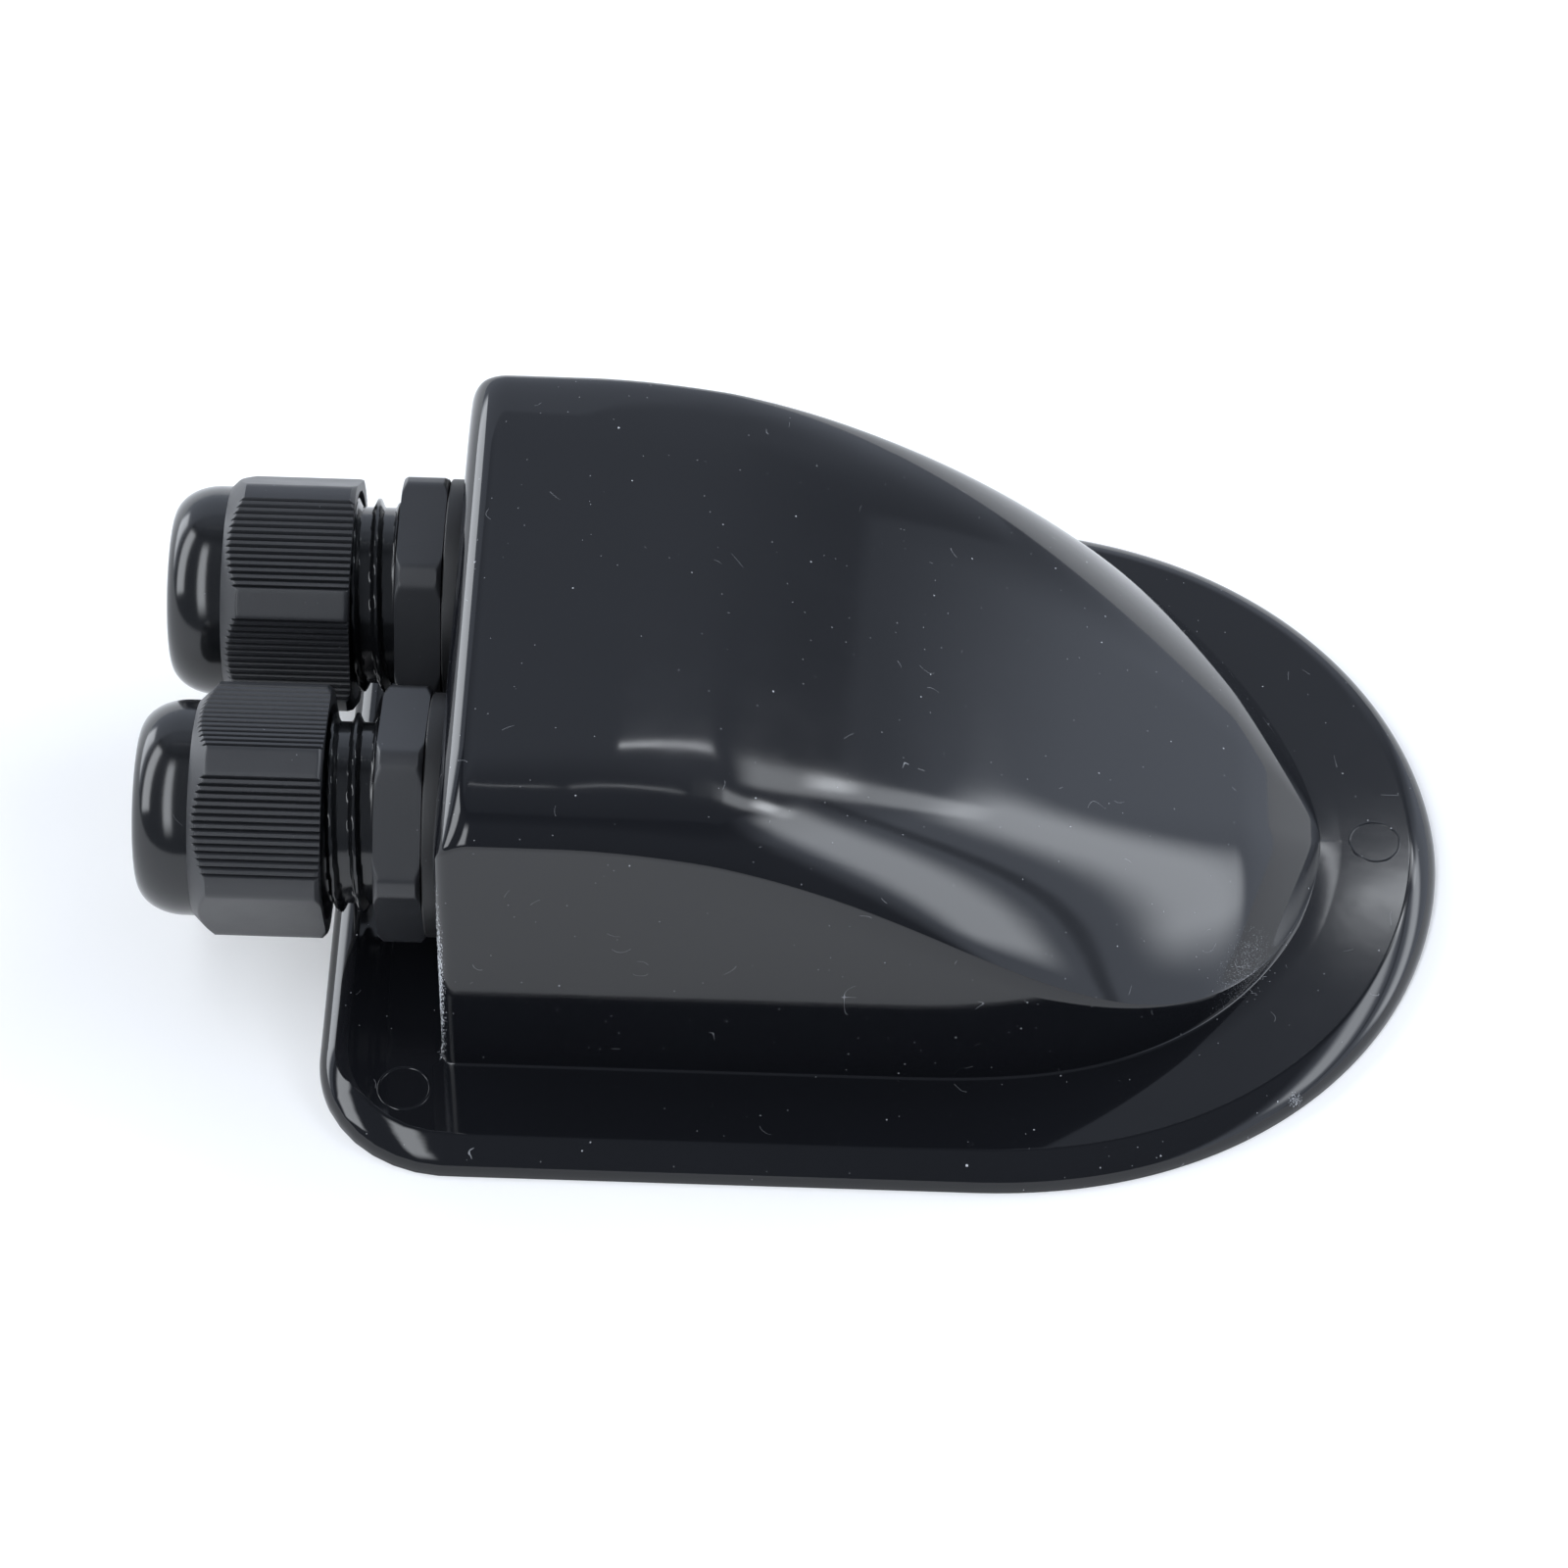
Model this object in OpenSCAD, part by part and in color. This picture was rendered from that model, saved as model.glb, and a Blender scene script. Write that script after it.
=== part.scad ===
// Roof cable entry box: a hollow moulded hood on a flange, with two cable glands in its rear wall.
// The origin lies on the roof plane, below the middle of the outer face of the gland wall.
// X runs from the glands to the nose, Y across the hood and Z up. Lengths are in millimetres.

/* [Hood] */
// Length of the hood, from the gland wall to the nose
hood_len = 92.8; // [88:0.5:112]
// Width of the hood at its foot
hood_w = 67.1; // [66:0.2:82]
// Height of the hood above the flange
hood_h = 36.6; // [36:0.2:46]
// Wall thickness of the hood's sides, top and nose
hood_wall = 2.6; // [2:0.1:3.2]
// Thickness of the rear wall that carries the glands
rear_wall = 3; // [2.4:0.1:4]
// Radius of the edge between the rear wall and the top
rear_edge_r = 4; // [3.4:0.1:6]
// Radius of the upright corners at the ends of the rear wall
rear_corner_r = 1.6; // [1.2:0.1:3]
// Lean of the side walls, in degrees
draft = 2; // [0:0.25:3]

/* [Flange] */
// Distance that the flange stands out behind the gland wall
flange_back = 13; // [10:0.5:16]
// Distance that the flange stands out past the nose
flange_front = 12.7; // [10:0.5:18]
// Distance that the flange stands out on each side of the hood
flange_side = 11.9; // [10:0.1:18]
// Thickness of the flange
flange_t = 3.4; // [3.2:0.1:5]
// Radius of the rounded rim on the upper edge of the flange
rim_r = 3; // [1.5:0.1:3]
// Radius of the two rear corners of the flange
flange_corner_r = 14.2; // [8:0.2:20]
// Depth of the adhesive channel in the underside
channel_depth = 1; // [0.6:0.1:1.4]
// Width of the sealing lips on both sides of the adhesive channel
lip_w = 3; // [2:0.1:4]
// Outer radius of the round moulding marks on the flange
mark_r = 2.85; // [2:0.05:3.5]

/* [Gland] */
// Distance between the two gland axes
gland_spacing = 30; // [29:0.5:34]
// Distance across the flats of the gland hexagons and nuts
hex_af = 24; // [22.5:0.1:24.5]
// Thickness of the hexagon on the gland body
hex_t = 5; // [4:0.1:6]
// Thickness of the sealing washer between the hexagon and the wall
gasket_t = 1.8; // [1:0.1:2.4]
// Distance that the sealing washer stands out past the flats of the hexagon
gasket_lip = 0.7; // [0:0.1:1.5]
// Wall of the locknut between its flats and the connecting thread that passes through the wall
locknut_wall = 2; // [1.6:0.1:3]
// Length of the connecting thread, measured from the hexagon
thread_len = 10; // [9.7:0.1:14]
// Wall of the connecting thread's tube, round the cable passage
tube_wall = 2.75; // [2.2:0.05:3.5]
// Pitch of the coarse thread
coarse_pitch = 2.4; // [2:0.1:2.6]
// Depth of the coarse thread
coarse_depth = 0.95; // [0.6:0.05:1]
// Wall of the spigot between the coarse thread's root and the claw's seat
spigot_wall = 1.08; // [0.8:0.02:1.4]
// Length of the threaded spigot beyond the hexagon
spigot_len = 12.5; // [12:0.1:14]
// Thickness of the locknut inside the box
locknut_t = 4.8; // [4:0.1:5.2]

/* [Sealing nut] */
// Length of the gripping skirt of the sealing nut
skirt_len = 14; // [13.5:0.1:16]
// Length of the dome beyond the skirt
dome_len = 6; // [5.5:0.1:8]
// Step from the flats of the skirt in to the dome
dome_step = 0.8; // [0.5:0.05:1.2]
// Wall of the sealing nut between its bore and the bottoms of its grip grooves
nut_wall = 0.92; // [0.7:0.02:1.2]
// Wall of the clamping claw
claw_wall = 0.95; // [0.8:0.05:1.1]
// Wall of the cable seal
seal_wall = 0.95; // [0.8:0.05:2]
// Gap between the hexagon and the near sealing nut as it stands
near_nut_gap = 5; // [1.4:0.1:8.8]
// Gap between the hexagon and the far sealing nut as it stands
far_nut_gap = 4.4; // [1.4:0.1:8.8]
// Number of grip ribs on each ribbed flat
rib_count = 14; // [8:1:16]
// Number of fingers on the clamping claw
finger_count = 10; // [6:2:12]

/* [Hidden] */
// Facets of round shapes
$fn = 72;
// Last angle of the nose's rings, just short of its tip
nose_last_angle = 88.5;
// Overrun of every cut past the face that it leaves
over = 1;

// Hood form: how far the side walls run straight, as a share of the hood's length
hood_straight_share = 0.485;
// Powers of the hood's nose outline, along X and across Y
hood_plan_x_power = 2.985;
hood_plan_y_power = 1.668;
// Where the top begins to fall, as a share of the hood's length, how deep it falls and its powers
top_fall_share = 0.138;
top_depth_share = 0.898;
top_fall_power = 1.753;
top_end_power = 0.943;
// Length over which the nose closes in a round, as a share of the hood's length
nose_round_share = 0.105;
// Where the sections begin to soften, as a share of the length, and how fast their edges do
soften_share = 0.297;
soften_power = 1.061;
// Straight wall as a share of a section's height, over the glands and at the nose, and its fall
wall_share = 0.935;
nose_wall_share = 0.03;
wall_power = 2.009;
// Flat top as a share of a section's width, at the rear and at the nose, and its fall
flat_share = 0.645;
nose_flat_share = 0.195;
flat_power = 1.032;
// Powers of the rounded edge between wall and top, across Y and up Z, over the glands and at the nose
edge_side_power = 3.975;
edge_top_power = 1.761;
nose_side_power = 1.887;
nose_top_power = 0.82;
// Rings round the rear edge, up to the softening, beside it and along the nose, and steps of the edge
edge_rings = 5;
boxy_rings = 4;
side_rings = 4;
nose_rings = 22;
edge_steps = 10;

// Flange form: how far its sides run straight, as a share of its reach, and its nose powers
flange_straight_share = 0.524;
flange_plan_x_power = 2.16;
flange_plan_y_power = 1.92;
flange_reach = hood_len + flange_front;
flange_half_w = hood_w / 2 + flange_side;
flange_nose_points = 20;
flange_corner_points = 7;
rim_rings = 5;

// Round marks: height and width of their raised ring, and their places
mark_height = 0.12;
mark_line = 0.35;
mark_front_share = 0.46;
mark_corner_share = 0.72;

// Clearance of the connecting thread in the wall, of the locknut on it and of moving round faces
wall_clearance = 0.25;
thread_clearance = 0.05;
moving_clearance = 0.3;
head_clearance = 0.36;
// Room round the locknut and behind it inside the hood
locknut_room = 0.25;
locknut_back_room = 1;
// Chamfers on threads and hexagons, and the amount by which their corners are rounded off
thread_chamfer = 0.6;
hex_chamfer = 0.5;
hex_corner_trim = 0.15;
nut_corner_trim = 0.65;
narrow_flat_trim = 0.86;
// Turn of each hexagon about its own axis, in degrees from straight up
near_hex_turn = 51;
far_hex_turn = 30;
near_nut_turn = -16.8;
far_nut_turn = -46.9;
// Grip ribs: their depth, their distances from the two ends of a flat and the share that is crest
rib_depth = 0.4;
rib_margin = 0.15;
rib_end = 1.417;
crest_share = 0.45;

// Heights of the gland axes and the two places across the hood
gland_z_share = 0.49733;
gland_z = flange_t + hood_h * gland_z_share;
gland_y = gland_spacing / 2;

// Places along a gland, measured outwards from the gland wall
hex_back = gasket_t;
hex_front = hex_back + hex_t;
thread_end = hex_back - thread_len;
spigot_end = hex_front + spigot_len;
hex_corner_r = hex_af / sqrt(3);
rib_pitch = (hex_corner_r - 2 * narrow_flat_trim - rib_margin - rib_end) / (rib_count - crest_share);

// Diameters that follow from the hexagon and the walls
gasket_d = hex_af + 2 * gasket_lip;
thread_d = hex_af - 2 * (locknut_wall + thread_clearance);
passage_d = thread_d - 2 * tube_wall;
coarse_d = hex_af - 2 * (nut_wall + rib_depth + moving_clearance);
dome_d = hex_af - 2 * dome_step;

// Travel left when a nut is fully tightened, and the room left below the seal then
tight_gap = 1.4;
seat_gap = 0.4;

// Ridges of the coarse thread: place of the first, half width of foot and crest, as shares of the pitch
first_ridge_share = 0.27;
ridge_foot_share = 0.3;
ridge_crest_share = 0.14;

// Dome: its straight stretch and the width of its end face as shares of its length, and its steps
dome_straight_share = 0.18;
dome_face_share = 0.13;
dome_steps = 8;

// Ends of the seal, the claw and the cone as shares of the dome's length beyond the skirt
seal_end_share = 0.25;
claw_end_share = 0.42;
cone_end_share = 0.75;

// Sizes inside the sealing nut: seal collar, start of the cone, step at the mouth, claw ring and heads
collar_t = 1;
collar_start = 2;
cone_inset = 2;
throat_step = 0.18;
claw_ring_t = 2.2;
head_rise = 1.2;

// Seat bored in the gland body, and the radii of the claw and the seal that stand in it
seal_fit = 0.05;
mouth_lip = 0.1;
seat_r = coarse_d / 2 - coarse_depth - spigot_wall;
claw_out_r = seat_r - moving_clearance;
claw_in_r = claw_out_r - claw_wall;
mouth_r = claw_in_r - mouth_lip;
seal_r = claw_in_r - seal_fit;
seal_bore_r = seal_r - seal_wall;

// Places inside the sealing nut, measured from its open end
claw_start = collar_start + collar_t;
seal_end = skirt_len + dome_len * seal_end_share;
claw_end = skirt_len + dome_len * claw_end_share;
cone_start = skirt_len - cone_inset;
cone_end = skirt_len + dome_len * cone_end_share;
nut_len = skirt_len + dome_len;
nut_bore_r = coarse_d / 2 + moving_clearance;
throat_r = mouth_r + throat_step;
cone_slope = (nut_bore_r - throat_r) / (cone_end - cone_start);
head_start = spigot_len - tight_gap + head_clearance;
head_peak = head_start + head_rise;

// Floor of the seat in the gland body, and the slots between the claw's fingers
seat_floor = hex_front + tight_gap + collar_start - seat_gap;
finger_slot_w = 1.2;
finger_root = claw_start + claw_ring_t;

// Half of an outline that runs straight and closes in a soft nose, as points [x, y]
function nose_outline(start, reach, straight_to, half_w, px, py, steps) = [
    for (i = [0 : steps])
        let (a = 90 * i / steps)
        [straight_to + (reach - straight_to) * pow(sin(a), 2 / px), half_w * pow(cos(a), 2 / py)]
];

// Flange outline, drawn in from its edge by an inset
function flange_half(inset) = concat(
    [for (i = [0 : flange_corner_points])
        let (a = 90 * i / flange_corner_points, r = flange_corner_r - inset)
        [inset - flange_back + r * (1 - cos(a)), flange_half_w - inset - r * (1 - sin(a))]],
    nose_outline(0, flange_reach - inset, flange_reach * flange_straight_share,
        flange_half_w - inset, flange_plan_x_power, flange_plan_y_power, flange_nose_points)
);

// The same outline closed over both sides
function both_sides(half) = concat(
    half,
    [for (i = [len(half) - 2 : -1 : 0]) [half[i][0], -half[i][1]]]
);

// Hood: place of a ring, its half width and its height, for a form drawn in by an inset
function ring_x(i, inset, start) =
    let (
        edge = start + rear_edge_r - inset,
        soft = hood_len * soften_share,
        mid = hood_len * hood_straight_share,
        reach = hood_len - inset,
        j = i - edge_rings,
        k = j - boxy_rings,
        n = k - side_rings
    )
    i < edge_rings ? start + (rear_edge_r - inset) * (1 - cos(90 * i / edge_rings))
    : j < boxy_rings ? edge + (soft - edge) * j / boxy_rings
    : k < side_rings ? soft + (mid - soft) * k / side_rings
    : mid + (reach - mid) * pow(sin(nose_last_angle * n / nose_rings), 2 / hood_plan_x_power);

function half_width(x, inset, start) =
    let (
        mid = hood_len * hood_straight_share,
        u = max(0, (x - mid) / (hood_len - inset - mid)),
        r = rear_corner_r,
        cut = x - start < r ? r - sqrt(r * r - pow(r - (x - start), 2)) : 0
    )
    (hood_w / 2 - inset) * pow(1 - pow(u, hood_plan_x_power), 1 / hood_plan_y_power) - cut;

function top_height(x, inset, start) =
    let (
        fall = hood_len * top_fall_share,
        reach = hood_len - inset,
        round = hood_len * nose_round_share,
        u = max(0, (x - fall) / (reach - fall)),
        v = max(0, (x - reach + round) / round),
        drop = pow(1 - top_depth_share * pow(u, top_fall_power), 1 / top_end_power),
        r = rear_edge_r - inset,
        cut = x - start < r ? r - sqrt(r * r - pow(r - (x - start), 2)) : 0
    )
    (hood_h - inset) * drop * sqrt(1 - v * v) - cut;

// One half section from the foot up to the middle of the top, as points [y, z]
function half_section(x, inset, start) =
    let (
        b = half_width(x, inset, start),
        h = top_height(x, inset, start),
        u = max(0, (x - hood_len * soften_share) / (hood_len * (1 - soften_share) - inset)),
        s = pow(u, soften_power),
        wall = wall_share + (nose_wall_share - wall_share) * pow(u, wall_power),
        flat = flat_share + (nose_flat_share - flat_share) * pow(x / hood_len, flat_power),
        side = edge_side_power * pow(nose_side_power / edge_side_power, s),
        top = edge_top_power * pow(nose_top_power / edge_top_power, s)
    )
    concat(
        [[b, 0]],
        [for (k = [0 : edge_steps])
            let (a = 90 * k / edge_steps, z = h * (wall + (1 - wall) * pow(sin(a), 2 / top)))
            [(flat + (1 - flat) * pow(cos(a), 2 / side)) * (b - tan(draft) * z), z]],
        [[0, h]]
    );

// A whole ring, carried down by a drop below the flange's top
function ring(x, inset, start, drop) =
    let (half = half_section(x, inset, start), last = len(half) - 1)
    concat(
        [[x, -half[0][0], -drop]],
        [for (p = half) [x, -p[0], p[1]]],
        [for (k = [last - 1 : -1 : 0]) [x, half[k][0], half[k][1]]],
        [[x, half[0][0], -drop]]
    );

// Triangles between rings of equal length, with flat faces on the first and last ring
function loft_faces(rings, size) = concat(
    [[for (k = [size - 1 : -1 : 0]) k]],
    [for (i = [0 : rings - 2], k = [0 : size - 1])
        [i * size + k, i * size + (k + 1) % size, (i + 1) * size + k]],
    [for (i = [0 : rings - 2], k = [0 : size - 1])
        [(i + 1) * size + k, i * size + (k + 1) % size, (i + 1) * size + (k + 1) % size]],
    [[for (k = [0 : size - 1]) (rings - 1) * size + k]]
);

// Solid hood form, drawn in by an inset and begun at a distance from the gland wall
module hood_form(inset, start, drop) {
    count = edge_rings + boxy_rings + side_rings + nose_rings;
    rings = [for (i = [0 : count]) ring(ring_x(i, inset, start), inset, start, drop)];
    polyhedron(
        points = [for (r = rings) each r],
        faces = loft_faces(len(rings), len(rings[0])),
        convexity = 4
    );
}

// Flange plate with its rounded rim
module flange_plate() {
    levels = concat(
        [[0, 0]],
        [for (i = [0 : rim_rings])
            let (a = 90 * i / rim_rings)
            [rim_r * (1 - cos(a)), flange_t - rim_r + rim_r * sin(a)]]
    );
    rings = [for (level = levels) [for (p = both_sides(flange_half(level[0]))) [p[0], p[1], level[1]]]];
    size = len(rings[0]);
    polyhedron(
        points = [for (r = rings) each r],
        faces = loft_faces(len(rings), size),
        convexity = 2
    );
}

// Shallow channel for adhesive, between an outer and an inner sealing lip
module adhesive_channel() {
    difference() {
        translate([0, 0, -over]) linear_extrude(channel_depth + over)
            polygon(both_sides(flange_half(lip_w)));
        translate([-lip_w / 2, 0, -2 * over]) linear_extrude(channel_depth + 3 * over)
            polygon(hood_lip());
    }
}

// Outline of the inner lip, which follows the hood's foot with a step outside it
function hood_lip() =
    let (mid = hood_len * hood_straight_share, half_w = hood_w / 2 + lip_w / 2)
    both_sides(concat(
        [[0, half_w]],
        nose_outline(0, hood_len + lip_w, mid, half_w, hood_plan_x_power, hood_plan_y_power, nose_rings)
    ));

// Raised ring left on the flange by the mould
module mould_mark(x, y) {
    translate([x, y, flange_t - mark_line]) difference() {
        cylinder(r = mark_r, h = mark_line + mark_height);
        translate([0, 0, mark_line - over])
            cylinder(r = mark_r - mark_line, h = mark_height + 2 * over);
    }
}

// One-piece moulded housing: hood, flange, cavity, gland holes and adhesive channel
module housing() {
    corner_x = -flange_back * (1 - mark_corner_share);
    corner_y = hood_w / 2 + flange_side * (1 - mark_corner_share);
    color([0.17, 0.18, 0.2]) difference() {
        union() {
            flange_plate();
            translate([0, 0, flange_t]) hood_form(0, 0, flange_t);
            mould_mark(hood_len + flange_front * mark_front_share, 0);
            mould_mark(corner_x, corner_y);
            mould_mark(corner_x, -corner_y);
        }
        translate([0, 0, flange_t]) hood_form(hood_wall, rear_wall, flange_t + over);
        adhesive_channel();
        for (y = [-gland_y, gland_y]) translate([0, y, gland_z]) rotate([0, 90, 0]) {
            translate([0, 0, -over])
                cylinder(d = thread_d + 2 * wall_clearance, h = rear_wall + 2 * over);
            translate([0, 0, rear_wall])
                cylinder(r = hex_corner_r + locknut_room, h = locknut_t + locknut_back_room);
        }
    }
}

// Places what is drawn along +Z onto a gland axis, pointing away from the gland wall
module on_gland(side) {
    translate([0, side * gland_y, gland_z]) rotate([0, -90, 0]) children();
}

// Hexagon prism with its corners rounded off and both rims chamfered
module hexagon(af, t, trim, turn) {
    corner = af / sqrt(3) - trim;
    intersection() {
        rotate(turn) cylinder(d = 2 * af / sqrt(3), h = t, $fn = 6);
        rotate_extrude() polygon([
            [0, 0], [corner - hex_chamfer, 0], [corner, hex_chamfer],
            [corner, t - hex_chamfer], [corner - hex_chamfer, t], [0, t]
        ]);
    }
}

// Gland body: connecting thread, hexagon, and a spigot with coarse ridges for the sealing nut
module gland_body(turn) {
    root_r = coarse_d / 2 - coarse_depth;
    first = hex_front + coarse_pitch * first_ridge_share;
    color([0.13, 0.135, 0.145]) difference() {
        union() {
            translate([0, 0, hex_back]) hexagon(hex_af, hex_t, hex_corner_trim, turn);
            rotate_extrude() polygon([
                [0, thread_end], [thread_d / 2 - thread_chamfer, thread_end],
                [thread_d / 2, thread_end + thread_chamfer], [thread_d / 2, hex_back + thread_chamfer],
                [0, hex_back + thread_chamfer]
            ]);
            translate([0, 0, hex_front - over]) cylinder(r = root_r, h = spigot_len + over);
            for (z = [first : coarse_pitch : spigot_end - coarse_pitch / 2])
                translate([0, 0, z]) coarse_ridge(root_r);
        }
        translate([0, 0, thread_end - over]) cylinder(d = passage_d, h = spigot_end - thread_end + 2 * over);
        translate([0, 0, seat_floor]) cylinder(r = seat_r, h = spigot_end - seat_floor + over);
    }
}

// One ridge of the coarse thread, with a flat crest and sloping flanks
module coarse_ridge(root_r) {
    foot = coarse_pitch * ridge_foot_share;
    crest = coarse_pitch * ridge_crest_share;
    rotate_extrude() polygon([
        [root_r - coarse_depth / 2, -foot], [root_r, -foot], [coarse_d / 2, -crest],
        [coarse_d / 2, crest], [root_r, foot], [root_r - coarse_depth / 2, foot]
    ]);
}

// Flat sealing washer between the hexagon and the wall
module gasket() {
    color([0.1, 0.1, 0.11]) difference() {
        cylinder(d = gasket_d, h = gasket_t);
        translate([0, 0, -over]) cylinder(d = thread_d + wall_clearance, h = gasket_t + 2 * over);
    }
}

// Locknut inside the box, drawn up against the rear wall
module locknut(turn) {
    color([0.13, 0.135, 0.145]) translate([0, 0, -rear_wall - locknut_t]) difference() {
        hexagon(hex_af, locknut_t, hex_corner_trim, turn);
        translate([0, 0, -over]) cylinder(d = thread_d + 2 * thread_clearance, h = locknut_t + 2 * over);
    }
}

// Clamping claw: a ring with springy fingers whose heads rest in the dome's cone
module claw(nut_gap) {
    cone_r = nut_bore_r - head_clearance;
    color([0.16, 0.165, 0.175]) translate([0, 0, hex_front + nut_gap]) difference() {
        rotate_extrude() polygon([
            [claw_in_r, claw_start], [claw_out_r, claw_start], [claw_out_r, head_start],
            [cone_r - cone_slope * (head_peak - cone_start), head_peak],
            [cone_r - cone_slope * (claw_end - cone_start), claw_end], [claw_in_r, claw_end]
        ]);
        for (i = [0 : finger_count / 2 - 1])
            rotate(180 / finger_count * 2 * i) translate([-hex_af / 2, -finger_slot_w / 2, finger_root])
                cube([hex_af, finger_slot_w, claw_end - finger_root + over]);
    }
}

// Rubber cable seal: a sleeve inside the claw with a collar below its ring
module seal(nut_gap) {
    color([0.09, 0.09, 0.095]) translate([0, 0, hex_front + nut_gap]) rotate_extrude() polygon([
        [seal_bore_r, collar_start], [claw_out_r, collar_start], [claw_out_r, claw_start],
        [seal_r, claw_start], [seal_r, seal_end], [seal_bore_r, seal_end]
    ]);
}

// Grip ribs along one flat, from a first place on it, as points of the skirt's outline
function ribbed_flat(turn, first) =
    let (flat = hex_af / 2, low = rib_pitch * (1 - crest_share) / 2)
    [for (i = [0 : rib_count - 1], p = [[0, 0], [low, -rib_depth], [2 * low, 0]])
        let (t = first + i * rib_pitch + p[0], r = flat + p[1])
        [r * cos(turn) - t * sin(turn), r * sin(turn) + t * cos(turn)]];

// Outline of the skirt: two smooth flats, four ribbed flats and two narrow flats between those
function skirt_outline() =
    let (
        narrow = hex_corner_r - narrow_flat_trim,
        half = narrow_flat_trim * sqrt(3),
        first = 2 * narrow_flat_trim - hex_corner_r / 2 + rib_margin,
        run = rib_pitch * (rib_count - crest_share)
    )
    [for (k = [0, 180], p = concat(
        [[narrow, -half], [narrow, half]],
        ribbed_flat(30, first),
        [for (a = [60, 120]) [hex_corner_r * cos(a), hex_corner_r * sin(a)]],
        ribbed_flat(150, -first - run)
    ))
        [p[0] * cos(k) - p[1] * sin(k), p[0] * sin(k) + p[1] * cos(k)]];

// Sealing nut: ribbed six-sided skirt, rounded dome, threaded bore left plain and a cone for the claw
module sealing_nut(nut_gap, turn) {
    skirt_r = hex_corner_r - nut_corner_trim;
    dome_r = dome_d / 2;
    face_r = mouth_r + dome_len * dome_face_share;
    straight = skirt_len + dome_len * dome_straight_share;
    color([0.13, 0.135, 0.145]) translate([0, 0, hex_front + nut_gap]) difference() {
        union() {
            intersection() {
                rotate(turn) linear_extrude(skirt_len) polygon(skirt_outline());
                rotate_extrude() polygon([
                    [0, 0], [skirt_r - hex_chamfer, 0], [skirt_r, hex_chamfer],
                    [skirt_r, skirt_len + dome_r - skirt_r], [dome_r, skirt_len], [0, skirt_len]
                ]);
            }
            rotate_extrude() polygon(concat(
                [[0, skirt_len - over], [dome_r, skirt_len - over]],
                [for (i = [0 : dome_steps])
                    let (a = 90 * i / dome_steps)
                    [face_r + (dome_r - face_r) * cos(a), straight + (nut_len - straight) * sin(a)]],
                [[0, nut_len]]
            ));
        }
        rotate_extrude() polygon([
            [0, -over], [nut_bore_r + hex_chamfer, -over], [nut_bore_r + hex_chamfer, 0],
            [nut_bore_r, hex_chamfer], [nut_bore_r, cone_start], [throat_r, cone_end],
            [mouth_r, cone_end], [mouth_r, nut_len + over], [0, nut_len + over]
        ]);
    }
}

module near_gland_body() { on_gland(-1) gland_body(near_hex_turn); }
module near_gasket() { on_gland(-1) gasket(); }
module near_locknut() { on_gland(-1) locknut(0); }
module near_claw() { on_gland(-1) claw(near_nut_gap); }
module near_seal() { on_gland(-1) seal(near_nut_gap); }
module near_sealing_nut() { on_gland(-1) sealing_nut(near_nut_gap, near_nut_turn); }
module far_gland_body() { on_gland(1) gland_body(far_hex_turn); }
module far_gasket() { on_gland(1) gasket(); }
module far_locknut() { on_gland(1) locknut(0); }
module far_claw() { on_gland(1) claw(far_nut_gap); }
module far_seal() { on_gland(1) seal(far_nut_gap); }
module far_sealing_nut() { on_gland(1) sealing_nut(far_nut_gap, far_nut_turn); }

housing();
near_gland_body();
near_gasket();
near_locknut();
near_claw();
near_seal();
near_sealing_nut();
far_gland_body();
far_gasket();
far_locknut();
far_claw();
far_seal();
far_sealing_nut();
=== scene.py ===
"""Looks of a roof cable entry box: a gloss moulded hood on a flange, with two compression cable glands.

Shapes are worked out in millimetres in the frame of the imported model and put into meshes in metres.
"""
import logging
import math
from dataclasses import dataclass, field
from enum import Enum

import bmesh
import bpy
import numpy as np
from mathutils import Matrix, Vector

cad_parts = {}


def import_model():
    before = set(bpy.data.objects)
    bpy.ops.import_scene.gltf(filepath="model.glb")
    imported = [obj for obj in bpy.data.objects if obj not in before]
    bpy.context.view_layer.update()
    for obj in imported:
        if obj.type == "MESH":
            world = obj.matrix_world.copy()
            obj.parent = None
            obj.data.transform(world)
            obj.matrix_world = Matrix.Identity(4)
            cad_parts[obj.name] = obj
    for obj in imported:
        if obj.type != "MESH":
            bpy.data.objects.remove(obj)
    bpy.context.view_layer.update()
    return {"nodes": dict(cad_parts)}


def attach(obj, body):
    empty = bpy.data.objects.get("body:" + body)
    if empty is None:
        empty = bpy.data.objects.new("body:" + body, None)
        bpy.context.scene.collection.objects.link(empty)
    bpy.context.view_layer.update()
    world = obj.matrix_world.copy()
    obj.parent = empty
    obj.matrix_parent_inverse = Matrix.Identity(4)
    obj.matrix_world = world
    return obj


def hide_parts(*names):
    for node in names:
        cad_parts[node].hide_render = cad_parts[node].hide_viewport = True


LOG = logging.getLogger("cable_entry_box")
MM = 0.001
WELD = 2e-7


def linear(code: str) -> tuple[float, float, float, float]:
    """Turns an sRGB hex colour into linear red, green, blue and an alpha of one.

    Args:
        code: six hex digits, such as "1b1c1f".

    Returns:
        The linear colour.
    """
    parts = [int(code[i:i + 2], 16) / 255 for i in (0, 2, 4)]
    low = [c / 12.92 if c <= 0.04045 else ((c + 0.055) / 1.055) ** 2.4 for c in parts]
    return (low[0], low[1], low[2], 1.0)


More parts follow.
